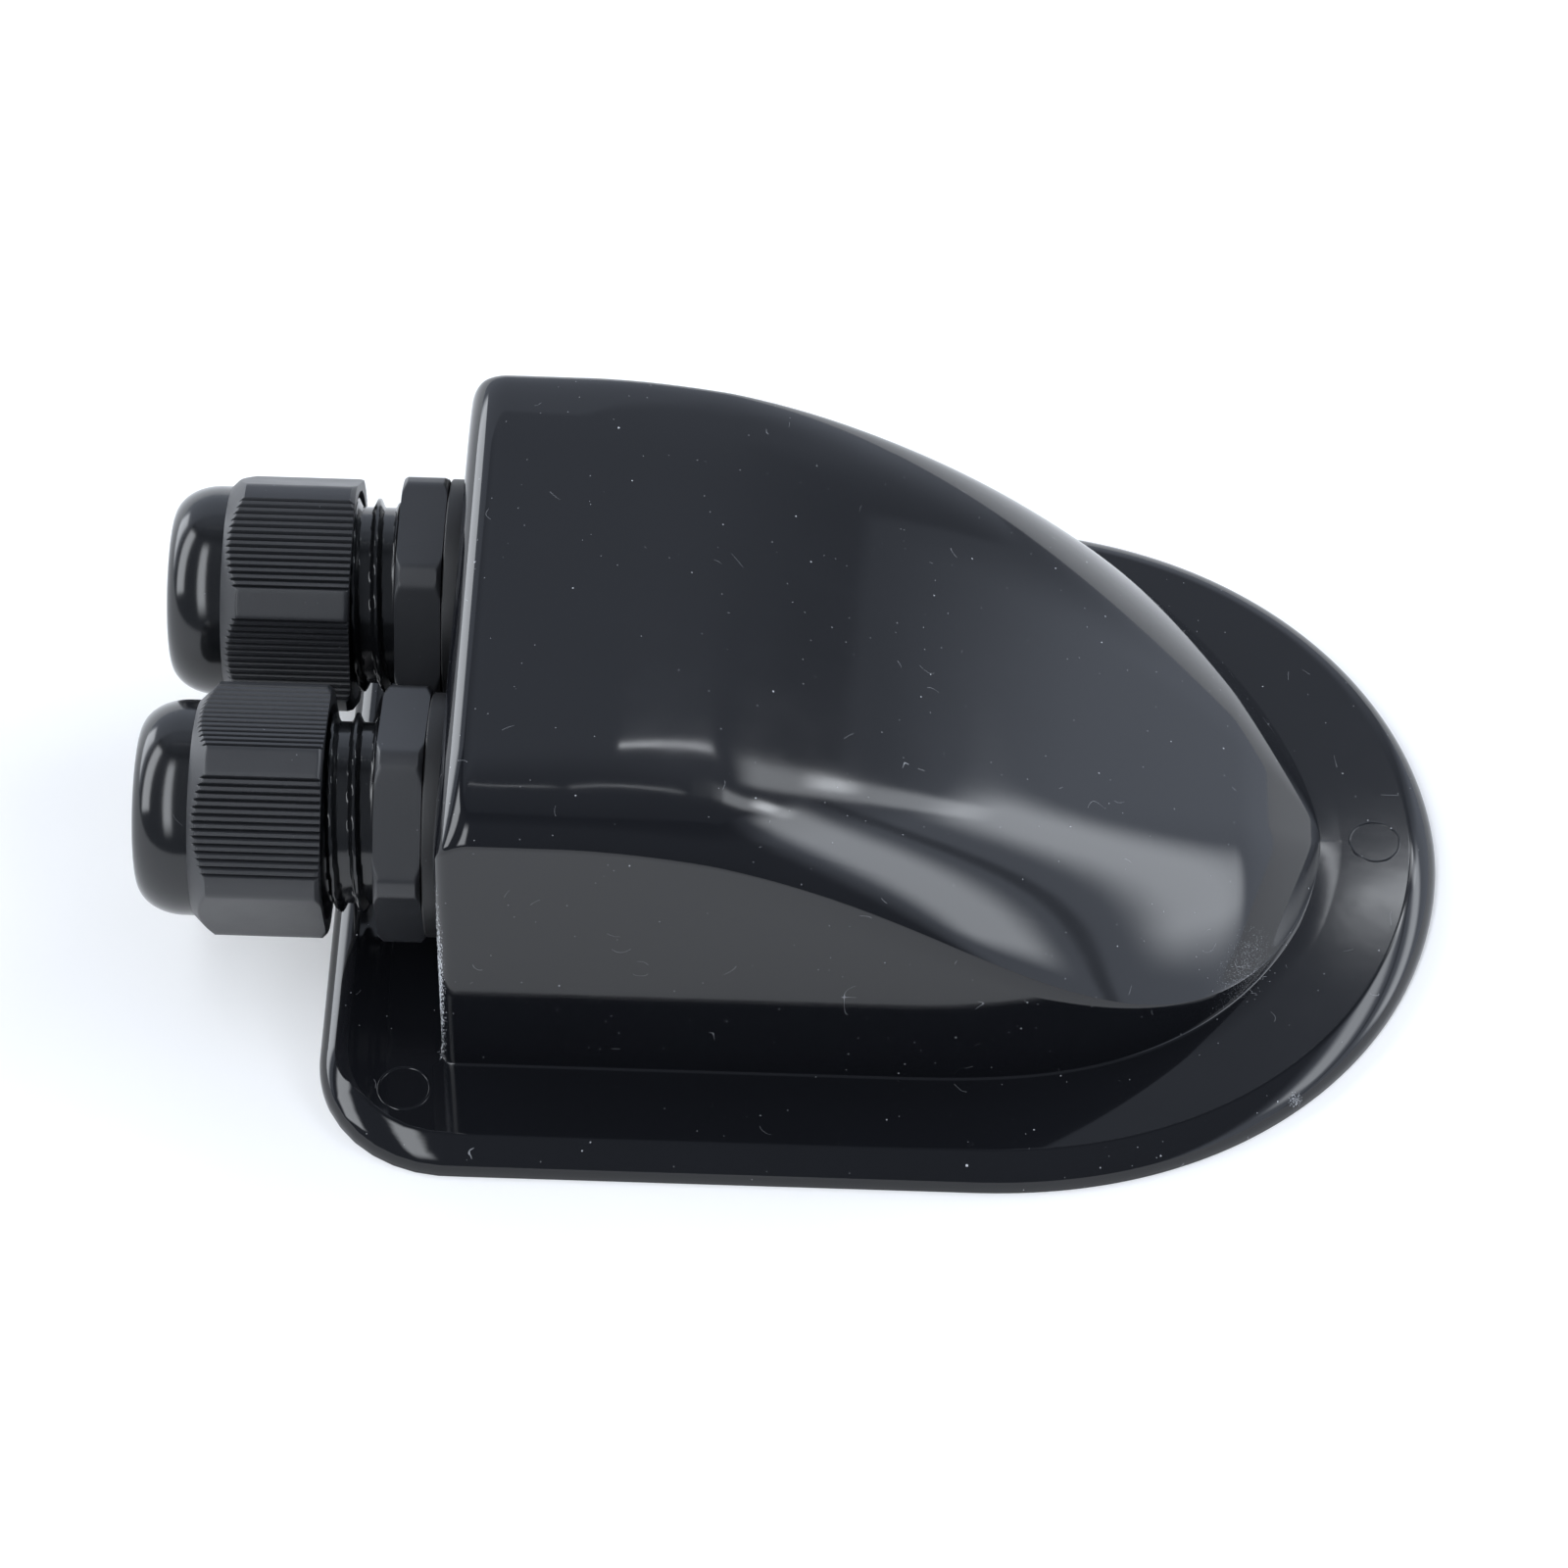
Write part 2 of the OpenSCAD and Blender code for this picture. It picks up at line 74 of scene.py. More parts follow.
def add_node(tree: bpy.types.NodeTree, kind: str, inputs: dict | None = None, **settings: object) -> bpy.types.Node:
    """Adds a node with its settings, and fills or links its inputs.

    Args:
        tree: the node tree that takes the node.
        kind: the node's type name, such as "ShaderNodeMath".
        inputs: values or sockets by input name or index; a socket is linked.
        settings: attributes of the node.

    Returns:
        The new node.
    """
    node = tree.nodes.new(kind)
    for name, value in settings.items():
        setattr(node, name, value)
    for key, value in (inputs or {}).items():
        if isinstance(value, bpy.types.NodeSocket):
            tree.links.new(value, node.inputs[key])
        else:
            node.inputs[key].default_value = value
    return node


# ---------------------------------------------------------------- meshes

def quads(rows: int, columns: int, closed_rows: bool = False, closed_columns: bool = False) -> np.ndarray:
    """Faces of a grid whose point (i, j) has index i * columns + j.

    Args:
        rows: number of rows.
        columns: number of columns.
        closed_rows: whether the last row joins the first.
        closed_columns: whether the last column joins the first.

    Returns:
        An array of faces, four indices each.
    """
    i = np.arange(rows if closed_rows else rows - 1)[:, None]
    j = np.arange(columns if closed_columns else columns - 1)[None, :]
    i2, j2 = (i + 1) % rows, (j + 1) % columns
    return np.stack([i * columns + j, i * columns + j2, i2 * columns + j2, i2 * columns + j], -1).reshape(-1, 4)


@dataclass
class Shell:
    """Patches of one surface, gathered and welded into one closed mesh."""

    points: list[np.ndarray] = field(default_factory=list)
    faces: list[np.ndarray] = field(default_factory=list)
    count: int = 0

    def patch(self, grid: np.ndarray, closed_rows: bool = False, closed_columns: bool = False) -> None:
        """Adds a grid of points of shape (rows, columns, 3), in millimetres."""
        rows, columns = grid.shape[:2]
        self.points.append(grid.reshape(-1, 3))
        self.faces.append(quads(rows, columns, closed_rows, closed_columns) + self.count)
        self.count += rows * columns

    def build(self, name: str, sharp_degrees: float) -> bpy.types.Object:
        """Makes the object: welds the seams, turns the faces outward and marks the sharp edges.

        Args:
            name: the object's name.
            sharp_degrees: the angle between faces from which an edge is shown sharp.

        Returns:
            The new object, at the origin.
        """
        mesh = bpy.data.meshes.new(name)
        mesh.from_pydata(np.concatenate(self.points) * MM, [], np.concatenate(self.faces))
        shape = bmesh.new()
        shape.from_mesh(mesh)
        bmesh.ops.remove_doubles(shape, verts=shape.verts, dist=WELD)
        bmesh.ops.dissolve_degenerate(shape, edges=shape.edges, dist=WELD)
        bmesh.ops.recalc_face_normals(shape, faces=shape.faces)
        shape.to_mesh(mesh)
        open_edges = sum(1 for e in shape.edges if not e.is_manifold)
        shape.free()
        mesh.polygons.foreach_set("use_smooth", np.ones(len(mesh.polygons), bool))
        mesh.set_sharp_from_angle(angle=math.radians(sharp_degrees))
        mesh.update()
        obj = bpy.data.objects.new(name, mesh)
        bpy.context.scene.collection.objects.link(obj)
        LOG.info("%s: %d faces, %d open edges", name, len(mesh.polygons), open_edges)
        return obj


def smooth_least(*radii: np.ndarray, power: float = 260.0) -> np.ndarray:
    """Least of several radii with a soft change between them: the power mean of their inverses."""
    inverse = sum((1.0 / np.maximum(r, 1e-6)) ** power for r in [x / radii[0] for x in radii])
    return radii[0] * inverse ** (-1.0 / power)


# ---------------------------------------------------------------- finishes

@dataclass(frozen=True)
class WearAndHighlightBox:
    """A box in which a fine stretched noise rises into white marks, used for worn places and for a painted highlight.

    Sizes are in millimetres. The marks fade out towards the box's sides.
    """

    middle: tuple[float, float, float]
    reach: tuple[float, float, float]
    grain: tuple[float, float, float]
    cover: float
    strength: float

    def over(
        self, tree: bpy.types.NodeTree, place: bpy.types.NodeSocket, share: bpy.types.NodeSocket,
    ) -> bpy.types.NodeSocket:
        """Adds this place's marks to a share of marks."""
        away = add_node(
            tree, "ShaderNodeMapping",
            {"Vector": place, "Location": tuple(v * MM for v in self.middle),
             "Scale": tuple(v * MM for v in self.reach)},
            vector_type="TEXTURE",
        )
        far = add_node(tree, "ShaderNodeVectorMath", {0: away.outputs["Vector"]}, operation="LENGTH")
        fine = add_node(
            tree, "ShaderNodeMapping", {"Vector": place, "Scale": tuple(1.0 / (v * MM) for v in self.grain)},
        )
        noise = add_node(
            tree, "ShaderNodeTexNoise", {"Vector": fine.outputs["Vector"], "Scale": 1.0, "Detail": 2.0},
        )
        level = add_node(
            tree, "ShaderNodeMath", {0: far.outputs["Value"], 1: -0.3, 2: noise.outputs["Fac"]},
            operation="MULTIPLY_ADD",
        )
        mark = add_node(
            tree, "ShaderNodeMapRange",
            {"Value": level.outputs[0], "From Min": self.cover, "From Max": self.cover + 0.03,
             "To Min": 0.0, "To Max": self.strength},
        )
        near = add_node(tree, "ShaderNodeMath", {0: far.outputs["Value"], 1: 1.0}, operation="LESS_THAN")
        return add_node(
            tree, "ShaderNodeMath", {0: mark.outputs["Result"], 1: near.outputs[0], 2: share},
            operation="MULTIPLY_ADD",
        ).outputs[0]


@dataclass(frozen=True)
class Finish:
    """One finish of the box, with what it gives the eye."""

    name: str
    colour: str
    pale: str
    roughness: float
    ior: float
    grain_mm: float
    grain_depth: float
    speck_mm: float
    scratches: float
    roughness_spread: float
    wear_and_highlight_places: tuple[WearAndHighlightBox, ...] = ()

    def material(self) -> bpy.types.Material:
        """Builds the node material: tone clouds, grain, dust, hairs, fine scratches, wear and painted highlight in
        Object coordinates.
        """
        material = bpy.data.materials.new(self.name)
        material.use_nodes = True
        tree = material.node_tree
        tree.nodes.clear()
        place = add_node(tree, "ShaderNodeTexCoord").outputs["Object"]
        shader = add_node(tree, "ShaderNodeBsdfPrincipled", {"IOR": self.ior, "Metallic": 0.0})
        clouds = add_node(tree, "ShaderNodeTexNoise", {"Vector": place, "Scale": 90.0, "Detail": 4.0, "Roughness": 0.6})
        marks = self.marks(tree, place)
        tone = add_node(
            tree, "ShaderNodeMix", {0: clouds.outputs["Fac"], 6: linear(self.colour), 7: linear(self.cloudy())},
            data_type="RGBA",
        )
        colour = add_node(
            tree, "ShaderNodeMix", {0: marks, 6: tone.outputs[2], 7: linear(self.pale)}, data_type="RGBA",
        )
        tree.links.new(colour.outputs[2], shader.inputs["Base Color"])
        rough = add_node(
            tree, "ShaderNodeMapRange",
            {"Value": clouds.outputs["Fac"], "From Min": 0.3, "From Max": 0.7,
             "To Min": self.roughness - self.roughness_spread, "To Max": self.roughness + self.roughness_spread},
        )
        rough_all = add_node(tree, "ShaderNodeMix", {0: marks, 2: rough.outputs["Result"], 3: 0.6})
        tree.links.new(rough_all.outputs[0], shader.inputs["Roughness"])
        grain = add_node(
            tree, "ShaderNodeTexNoise",
            {"Vector": place, "Scale": 1.0 / (self.grain_mm * MM), "Detail": 3.0, "Roughness": 0.5},
        )
        bump = add_node(
            tree, "ShaderNodeBump",
            {"Height": grain.outputs["Fac"], "Strength": 1.0, "Distance": self.grain_depth * MM},
        )
        tree.links.new(bump.outputs["Normal"], shader.inputs["Normal"])
        out = add_node(tree, "ShaderNodeOutputMaterial", {"Surface": shader.outputs["BSDF"]})
        out.target = "ALL"
        return material

    def cloudy(self) -> str:
        """The slightly paler tone of the clouds: each channel of the colour raised by an eighth."""
        return "".join(f"{min(255, round(int(self.colour[i:i + 2], 16) * 1.125)):02x}" for i in (0, 2, 4))

    def marks(self, tree: bpy.types.NodeTree, place: bpy.types.NodeSocket) -> bpy.types.NodeSocket:
        """Share of dust, hair, scratch, wear and painted highlight at each point, from 0 to 1.

        Dust is the inside of small spheres round scattered points. A scratch is the same with space
        stretched along one direction, and a hair is a narrow band of a slow noise in rare patches.
        Round each worn place, and in the painted highlight down the near rear upright corner, the same marks lie closer
        together.
        """
        share: bpy.types.NodeSocket | float = 0.0
        specks = ((1.5, 0.8 * self.speck_mm, 0.5), (3.0, 1.25 * self.speck_mm, 0.75), (8.0, 2.0 * self.speck_mm, 0.95))
        for cell, radius, strength in specks:
            cells = add_node(tree, "ShaderNodeTexVoronoi", {"Vector": place, "Scale": 1.0 / (cell * MM)})
            inside = add_node(
                tree, "ShaderNodeMath", {0: cells.outputs["Distance"], 1: radius / cell}, operation="LESS_THAN",
            )
            share = add_node(
                tree, "ShaderNodeMath", {0: inside.outputs[0], 1: strength, 2: share}, operation="MULTIPLY_ADD",
            ).outputs[0]
        for turn, tilt, cell in ((0.5, 0.2, 2.6), (-0.9, -0.3, 3.4), (2.0, 0.4, 4.4)):
            lie = add_node(
                tree, "ShaderNodeMapping",
                {"Vector": place, "Rotation": (tilt, 0.3, turn), "Scale": (0.05, 1.0, 1.0)},
            )
            cells = add_node(
                tree, "ShaderNodeTexVoronoi", {"Vector": lie.outputs["Vector"], "Scale": 1.0 / (cell * MM)},
            )
            inside = add_node(
                tree, "ShaderNodeMath", {0: cells.outputs["Distance"], 1: 0.035 / cell}, operation="LESS_THAN",
            )
            share = add_node(
                tree, "ShaderNodeMath", {0: inside.outputs[0], 1: self.scratches, 2: share}, operation="MULTIPLY_ADD",
            ).outputs[0]
        wave = add_node(tree, "ShaderNodeTexNoise", {"Vector": place, "Scale": 300.0, "Detail": 0.0})
        thin = add_node(
            tree, "ShaderNodeMath", {0: wave.outputs["Fac"], 1: 0.5, 2: 0.0022}, operation="COMPARE",
        )
        rare = add_node(tree, "ShaderNodeTexNoise", {"Vector": place, "Scale": 230.0, "Detail": 1.0})
        patch = add_node(tree, "ShaderNodeMath", {0: rare.outputs["Fac"], 1: 0.69}, operation="GREATER_THAN")
        hair = add_node(
            tree, "ShaderNodeMath", {0: thin.outputs[0], 1: patch.outputs[0]}, operation="MULTIPLY",
        )
        share = add_node(
            tree, "ShaderNodeMath", {0: hair.outputs[0], 1: self.scratches, 2: share}, operation="MULTIPLY_ADD",
        ).outputs[0]
        # Worn places, and the painted highlight on the housing, add their pale marks here.
        for wear_and_highlight_place in self.wear_and_highlight_places:
            share = wear_and_highlight_place.over(tree, place, share)
        return add_node(tree, "ShaderNodeMath", {0: share, 1: 1.0}, operation="MINIMUM").outputs[0]


# Pale marks on the moulding: a painted highlight down the near rear upright corner, and wear at the foot below the nose
# and on the rim beside it.
HOUSING_WEAR_AND_HIGHLIGHT = (
    # Painted highlight: a dense pale stripe of marks down the near rear upright corner.
    WearAndHighlightBox((0.1, -32.4, 16.0), (0.8, 1.7, 18.0), (0.16, 0.16, 0.3), 0.38, 1.0),
    WearAndHighlightBox((79.5, -17.5, 5.0), (8.0, 7.0, 5.0), (0.5, 0.09, 0.09), 0.41, 0.7),
    WearAndHighlightBox((89.6, -33.8, 2.2), (1.3, 1.0, 1.6), (0.3, 0.1, 0.1), 0.34, 0.8),
)


class Surface(Enum):
    """The finishes on the box."""

    # Moulded gloss ABS: a near-black mirror with soft lows, on which dust, fine scratches and wear show pale, and a
    # painted highlight runs down the near rear upright corner.
    GLOSS_ABS = Finish(
        "moulded_gloss_abs", "131417", "c4c6ca", 0.06, 1.49, 9.0, 0.006, 0.07, 0.42, 0.015, HOUSING_WEAR_AND_HIGHLIGHT,
    )
    # Moulded PA66 nylon: dark grey with a satin sheen, which blurs the lamps into soft patches.
    NYLON = Finish("moulded_pa66_nylon", "27282b", "7c7e82", 0.38, 1.53, 0.22, 0.008, 0.05, 0.3, 0.05)
    # The same nylon where the mould is polished, on dome and thread: the lamps stay clear patches.
    POLISHED_NYLON = Finish("polished_pa66_nylon", "17181a", "7c7e82", 0.15, 1.53, 0.9, 0.002, 0.05, 0.4, 0.03)
    # The same nylon in the clamping claw, less polished: flat grey with little shine.
    CLAW_NYLON = Finish("moulded_pa66_claw", "222326", "6c6e72", 0.42, 1.53, 0.3, 0.006, 0.05, 0.2, 0.05)
    # NBR rubber of the seal and the washer: dull black that only lifts at its edges.
    RUBBER = Finish("moulded_nbr_rubber", "151517", "5c5e61", 0.5, 1.52, 0.4, 0.01, 0.05, 0.1, 0.06)


@dataclass
class Paints:
    """Makes each finish's material once."""

    made: dict[str, bpy.types.Material] = field(default_factory=dict)

    def on(self, obj: bpy.types.Object, *surfaces: Surface) -> None:
        """Gives an object's material slots their finishes; a shortage of finishes repeats the last one."""
        for finish in (surface.value for surface in surfaces):
            if finish.name not in self.made:
                self.made[finish.name] = finish.material()
        materials = [self.made[surface.value.name] for surface in surfaces]
        slots = obj.material_slots
        if not slots:
            for material in materials:
                obj.data.materials.append(material)
        for k, slot in enumerate(slots):
            slot.material = materials[min(k, len(materials) - 1)]


# ---------------------------------------------------------------- housing

@dataclass(frozen=True)
class HoodForm:
    """The hood's outer form, or with an inset and a start its cavity, as half sections along X.

    Sizes are in millimetres, and heights are measured from the flange's top.
    """

    inset: float = 0.0
    start: float = 0.0
    length: float = 92.8
    width: float = 67.1
    height: float = 36.6
    rear_edge: float = 4.0
    rear_corner: float = 1.6
    draft: float = math.tan(math.radians(2.0))
    straight: float = 0.485
    plan_x: float = 2.985
    plan_y: float = 1.668
    fall: float = 0.138
    fall_depth: float = 0.898
    fall_power: float = 1.753
    end_power: float = 0.943
    nose_round: float = 0.105
    soften: float = 0.297
    soften_power: float = 1.061
    wall: tuple[float, float, float] = (0.935, 0.03, 2.009)
    flat: tuple[float, float, float] = (0.645, 0.195, 1.032)
    side_power: tuple[float, float] = (3.975, 1.887)
    top_power: tuple[float, float] = (1.761, 0.82)
    rear_run: float = 0.06

    def cut(self, x: np.ndarray, radius: float) -> np.ndarray:
        """Drop of a quarter round at distance x from the rear face."""
        away = np.clip(radius - (x - self.start), 0, radius)
        return radius - np.sqrt(radius * radius - away * away)

    def stations(self, edge: int, boxy: int, side: int, nose: int) -> np.ndarray:
        """Places of the rings along X: close at the rear edge and towards the nose's tip."""
        reach, soft, mid = self.length - self.inset, self.length * self.soften, self.length * self.straight
        radius = self.rear_edge - self.inset
        turn = np.linspace(0, np.pi / 2, edge)
        left = 1 - np.linspace(0, 1, nose)[1:]
        return np.concatenate([
            self.start + radius * (1 - np.cos(turn)),
            np.linspace(self.start + radius, soft, boxy)[1:],
            np.linspace(soft, mid, side)[1:],
            reach - (reach - mid) * left ** 2.2,
        ])

    def half_width(self, x: np.ndarray) -> np.ndarray:
        """Half width at the foot: straight, then a curve with one power along X and one across Y."""
        mid = self.length * self.straight
        u = np.clip((x - mid) / (self.length - self.inset - mid), 0, 1)
        return (self.width / 2 - self.inset) * (1 - u ** self.plan_x) ** (1 / self.plan_y) - self.cut(x, self.rear_corner)

    def top(self, x: np.ndarray) -> np.ndarray:
        """Height of the top: a power fall towards the nose, closed by a quarter ellipse, less the rear edge's round."""
        fall, reach = self.length * self.fall, self.length - self.inset
        close = self.length * self.nose_round
        u = np.clip((x - fall) / (reach - fall), 0, 1)
        v = np.clip((x - reach + close) / close, 0, 1)
        drop = (1 - self.fall_depth * u ** self.fall_power) ** (1 / self.end_power)
        return (self.height - self.inset) * drop * np.sqrt(1 - v * v) - self.cut(x, self.rear_edge - self.inset)

    def sections(self, x: np.ndarray, foot: float, wall_steps: int, edge_steps: int, top_steps: int) -> np.ndarray:
        """Half sections from the middle of the top down to the foot.

        A rounded edge, the curve s to one power plus g to another equals one, lies between the flat top
        and the straight wall. Both run out towards the nose.

        Args:
            x: places of the rings.
            foot: height of the fillet at the foot; where the wall is low, it takes most of the wall.
            wall_steps: rows on the straight wall.
            edge_steps: rows on each half of the rounded edge.
            top_steps: rows on half the flat top.

        Returns:
            Points of shape (rings, points, 3) on the +Y side.
        """
        half, top = self.half_width(x), self.top(x)
        soft = self.length * self.soften
        u = np.clip((x - soft) / (self.length - self.inset - soft), 0, 1)
        s_share = u ** self.soften_power
        wall = self.wall[0] + (self.wall[1] - self.wall[0]) * u ** self.wall[2]
        flat = self.flat[0] + (self.flat[1] - self.flat[0]) * (x / self.length) ** self.flat[2]
        rear = np.exp(-u / self.rear_run)
        p = (self.side_power[0] * (self.side_power[1] / self.side_power[0]) ** s_share - 1.85 * rear)[:, None]
        q = (self.top_power[0] * (self.top_power[1] / self.top_power[0]) ** s_share + 1.1 * rear)[:, None]
        step = (1 - (1 - np.linspace(0, 1, edge_steps)) ** 1.5)[None, :]
        s_top = step * 0.5 ** (1 / p)
        g_side = (1 - step[:, 1:]) * 0.5 ** (1 / q)
        s = np.concatenate([s_top, (1 - g_side ** q) ** (1 / p)], 1)
        g = np.concatenate([(1 - s_top ** p) ** (1 / q), g_side], 1)
        across = np.linspace(0, 1, top_steps)[None, :-1] * flat[:, None]
        across = np.concatenate([across, flat[:, None] + (1 - flat[:, None]) * s], 1)
        up = np.concatenate([np.ones((len(x), top_steps - 1)), wall[:, None] + (1 - wall[:, None]) * g], 1)
        z = top[:, None] * up
        low = np.minimum(foot, 0.8 * wall * top)[:, None]
        down = np.linspace(0, 1, wall_steps)[None, 1:]
        z = np.concatenate([z, z[:, -1:] + (low - z[:, -1:]) * down], 1)
        across = np.concatenate([across, np.ones((len(x), wall_steps - 1))], 1)
        y = across * (half[:, None] - self.draft * z)
        return np.stack([np.broadcast_to(x[:, None], z.shape), y, z], -1)


@dataclass(frozen=True)
class FlangeForm:
    """Outline of the flange: a straight rear edge, two round corners, straight sides and a soft nose."""

    back: float = 13.0
    reach: float = 105.5
    half: float = 45.45
    corner: float = 14.2
    straight: float = 0.524
    plan_x: float = 2.16
    plan_y: float = 1.92
    thick: float = 3.4
    rim: float = 3.0
    rim_drop: float = 3.0

    def side(self, inset: float) -> np.ndarray:
        """Dense points from the nose's tip round the +Y side to the start of the rear edge."""
        a = np.linspace(np.pi / 2, 0, 500)
        mid = self.reach * self.straight
        nose = np.stack([
            mid + (self.reach - inset - mid) * np.sin(a) ** (2 / self.plan_x),
            (self.half - inset) * np.cos(a) ** (2 / self.plan_y),
        ], -1)
        r = self.corner - inset
        b = np.linspace(np.pi / 2, np.pi, 120)
        corner = np.stack([
            self.corner - self.back + r * np.cos(b),
            self.half - self.corner + r * np.sin(b),
        ], -1)
        return np.concatenate([nose, corner])

    def at(self, shares: np.ndarray, inset: float) -> np.ndarray:
        """Points of the side at shares of its length from the tip."""
        line = self.side(inset)
        run = np.concatenate([[0.0], np.cumsum(np.linalg.norm(np.diff(line, axis=0), axis=1))])
        return np.stack([np.interp(shares * run[-1], run, line[:, k]) for k in (0, 1)], -1)


@dataclass
class Housing:
    """The one-piece moulding: hood, flange, cavity, gland holes, sealing channel and ring marks."""

    outer: HoodForm = field(default_factory=HoodForm)
    inner: HoodForm = field(default_factory=lambda: HoodForm(inset=2.6, start=3.0))
    flange: FlangeForm = field(default_factory=FlangeForm)
    fillet: float = 0.35
    rings: tuple[int, int, int, int] = (16, 14, 18, 90)
    steps: tuple[int, int, int] = (7, 25, 9)
    base_points: int = 25
    hole_r: float = 10.2
    gland_y: float = 15.0
    gland_z: float = 21.602
    lip: float = 3.0
    channel: float = 1.0
    marks: tuple[tuple[float, float], ...] = ((98.64, 0.0), (-3.64, 36.88), (-3.64, -36.88))
    mark_r: float = 2.68

    def loop(self, side: np.ndarray, rear: float, z: np.ndarray) -> np.ndarray:
        """Closed loop from the nose's tip along -Y, across the rear and back along +Y.

        Args:
            side: plan points from the rear corner to the tip on the +Y side, shape (rings, 2).
            rear: X of the rear edge.
            z: height of each side point.

        Returns:
            Points of shape (loop, 3).
        """
        far = np.column_stack([side, z])
        near = far * np.array([1, -1, 1])
        y = np.linspace(-far[0, 1], far[0, 1], self.base_points)[1:-1]
        base = np.column_stack([np.full(len(y), rear), y, np.full(len(y), far[0, 2])])
        return np.concatenate([near[::-1], base, far[:-1]])

    def wall_with_hole(self, ring: np.ndarray, base_z: float) -> tuple[np.ndarray, np.ndarray]:
        """Boundary of the +Y half of a rear wall and the hole's circle, point by point at the same angles.

        Args:
            ring: the half section at the wall, from the middle of the top to the foot.
            base_z: height of the wall's lower edge.

        Returns:
            The boundary and the circle, each of shape (points, 3).
        """
        x = ring[0, 0]
        y = np.linspace(-ring[-1, 1], ring[-1, 1], self.base_points)[::-1][1:(self.base_points + 1) // 2]
        base = np.column_stack([np.full(len(y), x), y, np.full(len(y), base_z)])
        z = np.linspace(base_z, ring[0, 2], 14)[1:-1]
        middle = np.column_stack([np.full(len(z), x), np.zeros(len(z)), z])
        edge = np.concatenate([ring, base, middle])
        angle = np.arctan2(edge[:, 2] - self.gland_z, edge[:, 1] - self.gland_y)
        circle = np.column_stack([
            np.full(len(angle), x),
            self.gland_y + self.hole_r * np.cos(angle),
            self.gland_z + self.hole_r * np.sin(angle),
        ])
        return edge, circle

    def build(self) -> bpy.types.Object:
        """Builds the closed shell of the whole moulding."""
        shell = Shell()
        thick = self.flange.thick
        up = np.array([0.0, 0.0, thick])
        flip = np.array([1.0, -1.0, 1.0])
        x = self.outer.stations(*self.rings)
        skin = self.outer.sections(x, self.fillet, *self.steps)
        both = np.concatenate([(skin * flip)[:, ::-1], skin[:, 1:]], 1) + up
        shell.patch(both)
        # The foot: a hollow round from the wall out to the flange's top, drawn as a quadratic curve.
        foot = skin[:, -1]
        size = foot[:, 2]
        tangent = np.gradient(foot[:, :2], axis=0)
        normal = np.stack([-tangent[:, 1], tangent[:, 0]], -1)
        normal /= np.maximum(np.linalg.norm(normal, axis=1, keepdims=True), 1e-9)
        normal[0], normal[-1] = (-1.0, 0.0), (1.0, 0.0)
        rows = []
        for t in np.linspace(0, 1, 6):
            out = size * t * t
            rows.append(self.loop(foot[:, :2] + normal * out[:, None], -size[0] * t * t, size * (1 - t) ** 2 + thick))
        # The flange's top, its rounded rim and its edge, matched by share of length from the tip.
        run = np.concatenate([[0.0], np.cumsum(np.linalg.norm(np.diff(foot[::-1, :2], axis=0), axis=1))])
        shares = (run / run[-1])[::-1]

        def flange_loop(inset: float, z: float) -> np.ndarray:
            side = self.flange.at(shares, inset)
            return self.loop(side, inset - self.flange.back, np.full(len(side), z))

        rim = self.flange.rim
        rim_start = flange_loop(rim + 0.2, thick)
        rows += [rows[-1] + (rim_start - rows[-1]) * t for t in np.linspace(0, 1, 5)[1:]]
        # The rim: a part of an ellipse, which meets the flat top in a soft edge.
        first = math.radians(22.0)
        wide, tall = rim / (1 - math.sin(first)), self.flange.rim_drop / math.cos(first)
        for a in np.linspace(first, np.pi / 2, 13):
            rows.append(flange_loop(wide * (1 - np.sin(a)), thick - self.flange.rim_drop + tall * np.cos(a)))
        rows.append(flange_loop(0.0, 0.0))
        rows.append(flange_loop(self.lip, 0.0))
        rows.append(flange_loop(self.lip, self.channel))
        foot_flat = foot[:, :2] + normal * (self.lip / 2)
        lip_top = self.loop(foot_flat, -self.lip / 2, np.full(len(foot), self.channel))
        rows.append(lip_top)
        rows.append(lip_top * np.array([1, 1, 0]))
        # The cavity, from the underside up its walls.
        xi = self.inner.stations(*self.rings)
        hollow = self.inner.sections(xi, 0.0, *self.steps)
        inner_foot = hollow[:, -1]
        side = np.stack([inner_foot[:, 0], self.inner.half_width(xi)], -1)
        rows.append(self.loop(side, self.inner.start, np.zeros(len(xi))))
        rows.append(self.loop(inner_foot[:, :2], self.inner.start, inner_foot[:, 2] + thick))
        shell.patch(np.stack(rows), closed_columns=True)
        shell.patch(np.concatenate([(hollow * flip)[:, ::-1], hollow[:, 1:]], 1) + up)
        # The rear wall's two faces and the gland holes through it.
        outside, outside_hole = self.wall_with_hole(skin[0] + up, skin[0, -1, 2] + thick)
        inside, inside_hole = self.wall_with_hole(hollow[0] + up, thick + hollow[0, -1, 2])
        for mirror in (np.ones(3), flip):
            shell.patch(np.stack([outside, outside_hole, inside_hole, inside]) * mirror, closed_columns=True)
        for place in self.marks:
            self.ring_mark(shell, place)
        return shell.build("housing_moulding", 40.0)

    def ring_mark(self, shell: Shell, place: tuple[float, float]) -> None:
        """A thin raised ring, half sunk in the flange: a circle carried round a circle, flattened in height."""
        around = np.linspace(0, 2 * np.pi, 96, endpoint=False)[:, None]
        about = np.linspace(0, 2 * np.pi, 10, endpoint=False)[None, :]
        r = self.mark_r + 0.13 * np.cos(about)
        z = self.flange.thick + 0.05 * np.sin(about) + 0 * around
        grid = np.stack([place[0] + r * np.cos(around), place[1] + r * np.sin(around), z], -1)
        shell.patch(grid, closed_rows=True, closed_columns=True)


# ---------------------------------------------------------------- glands

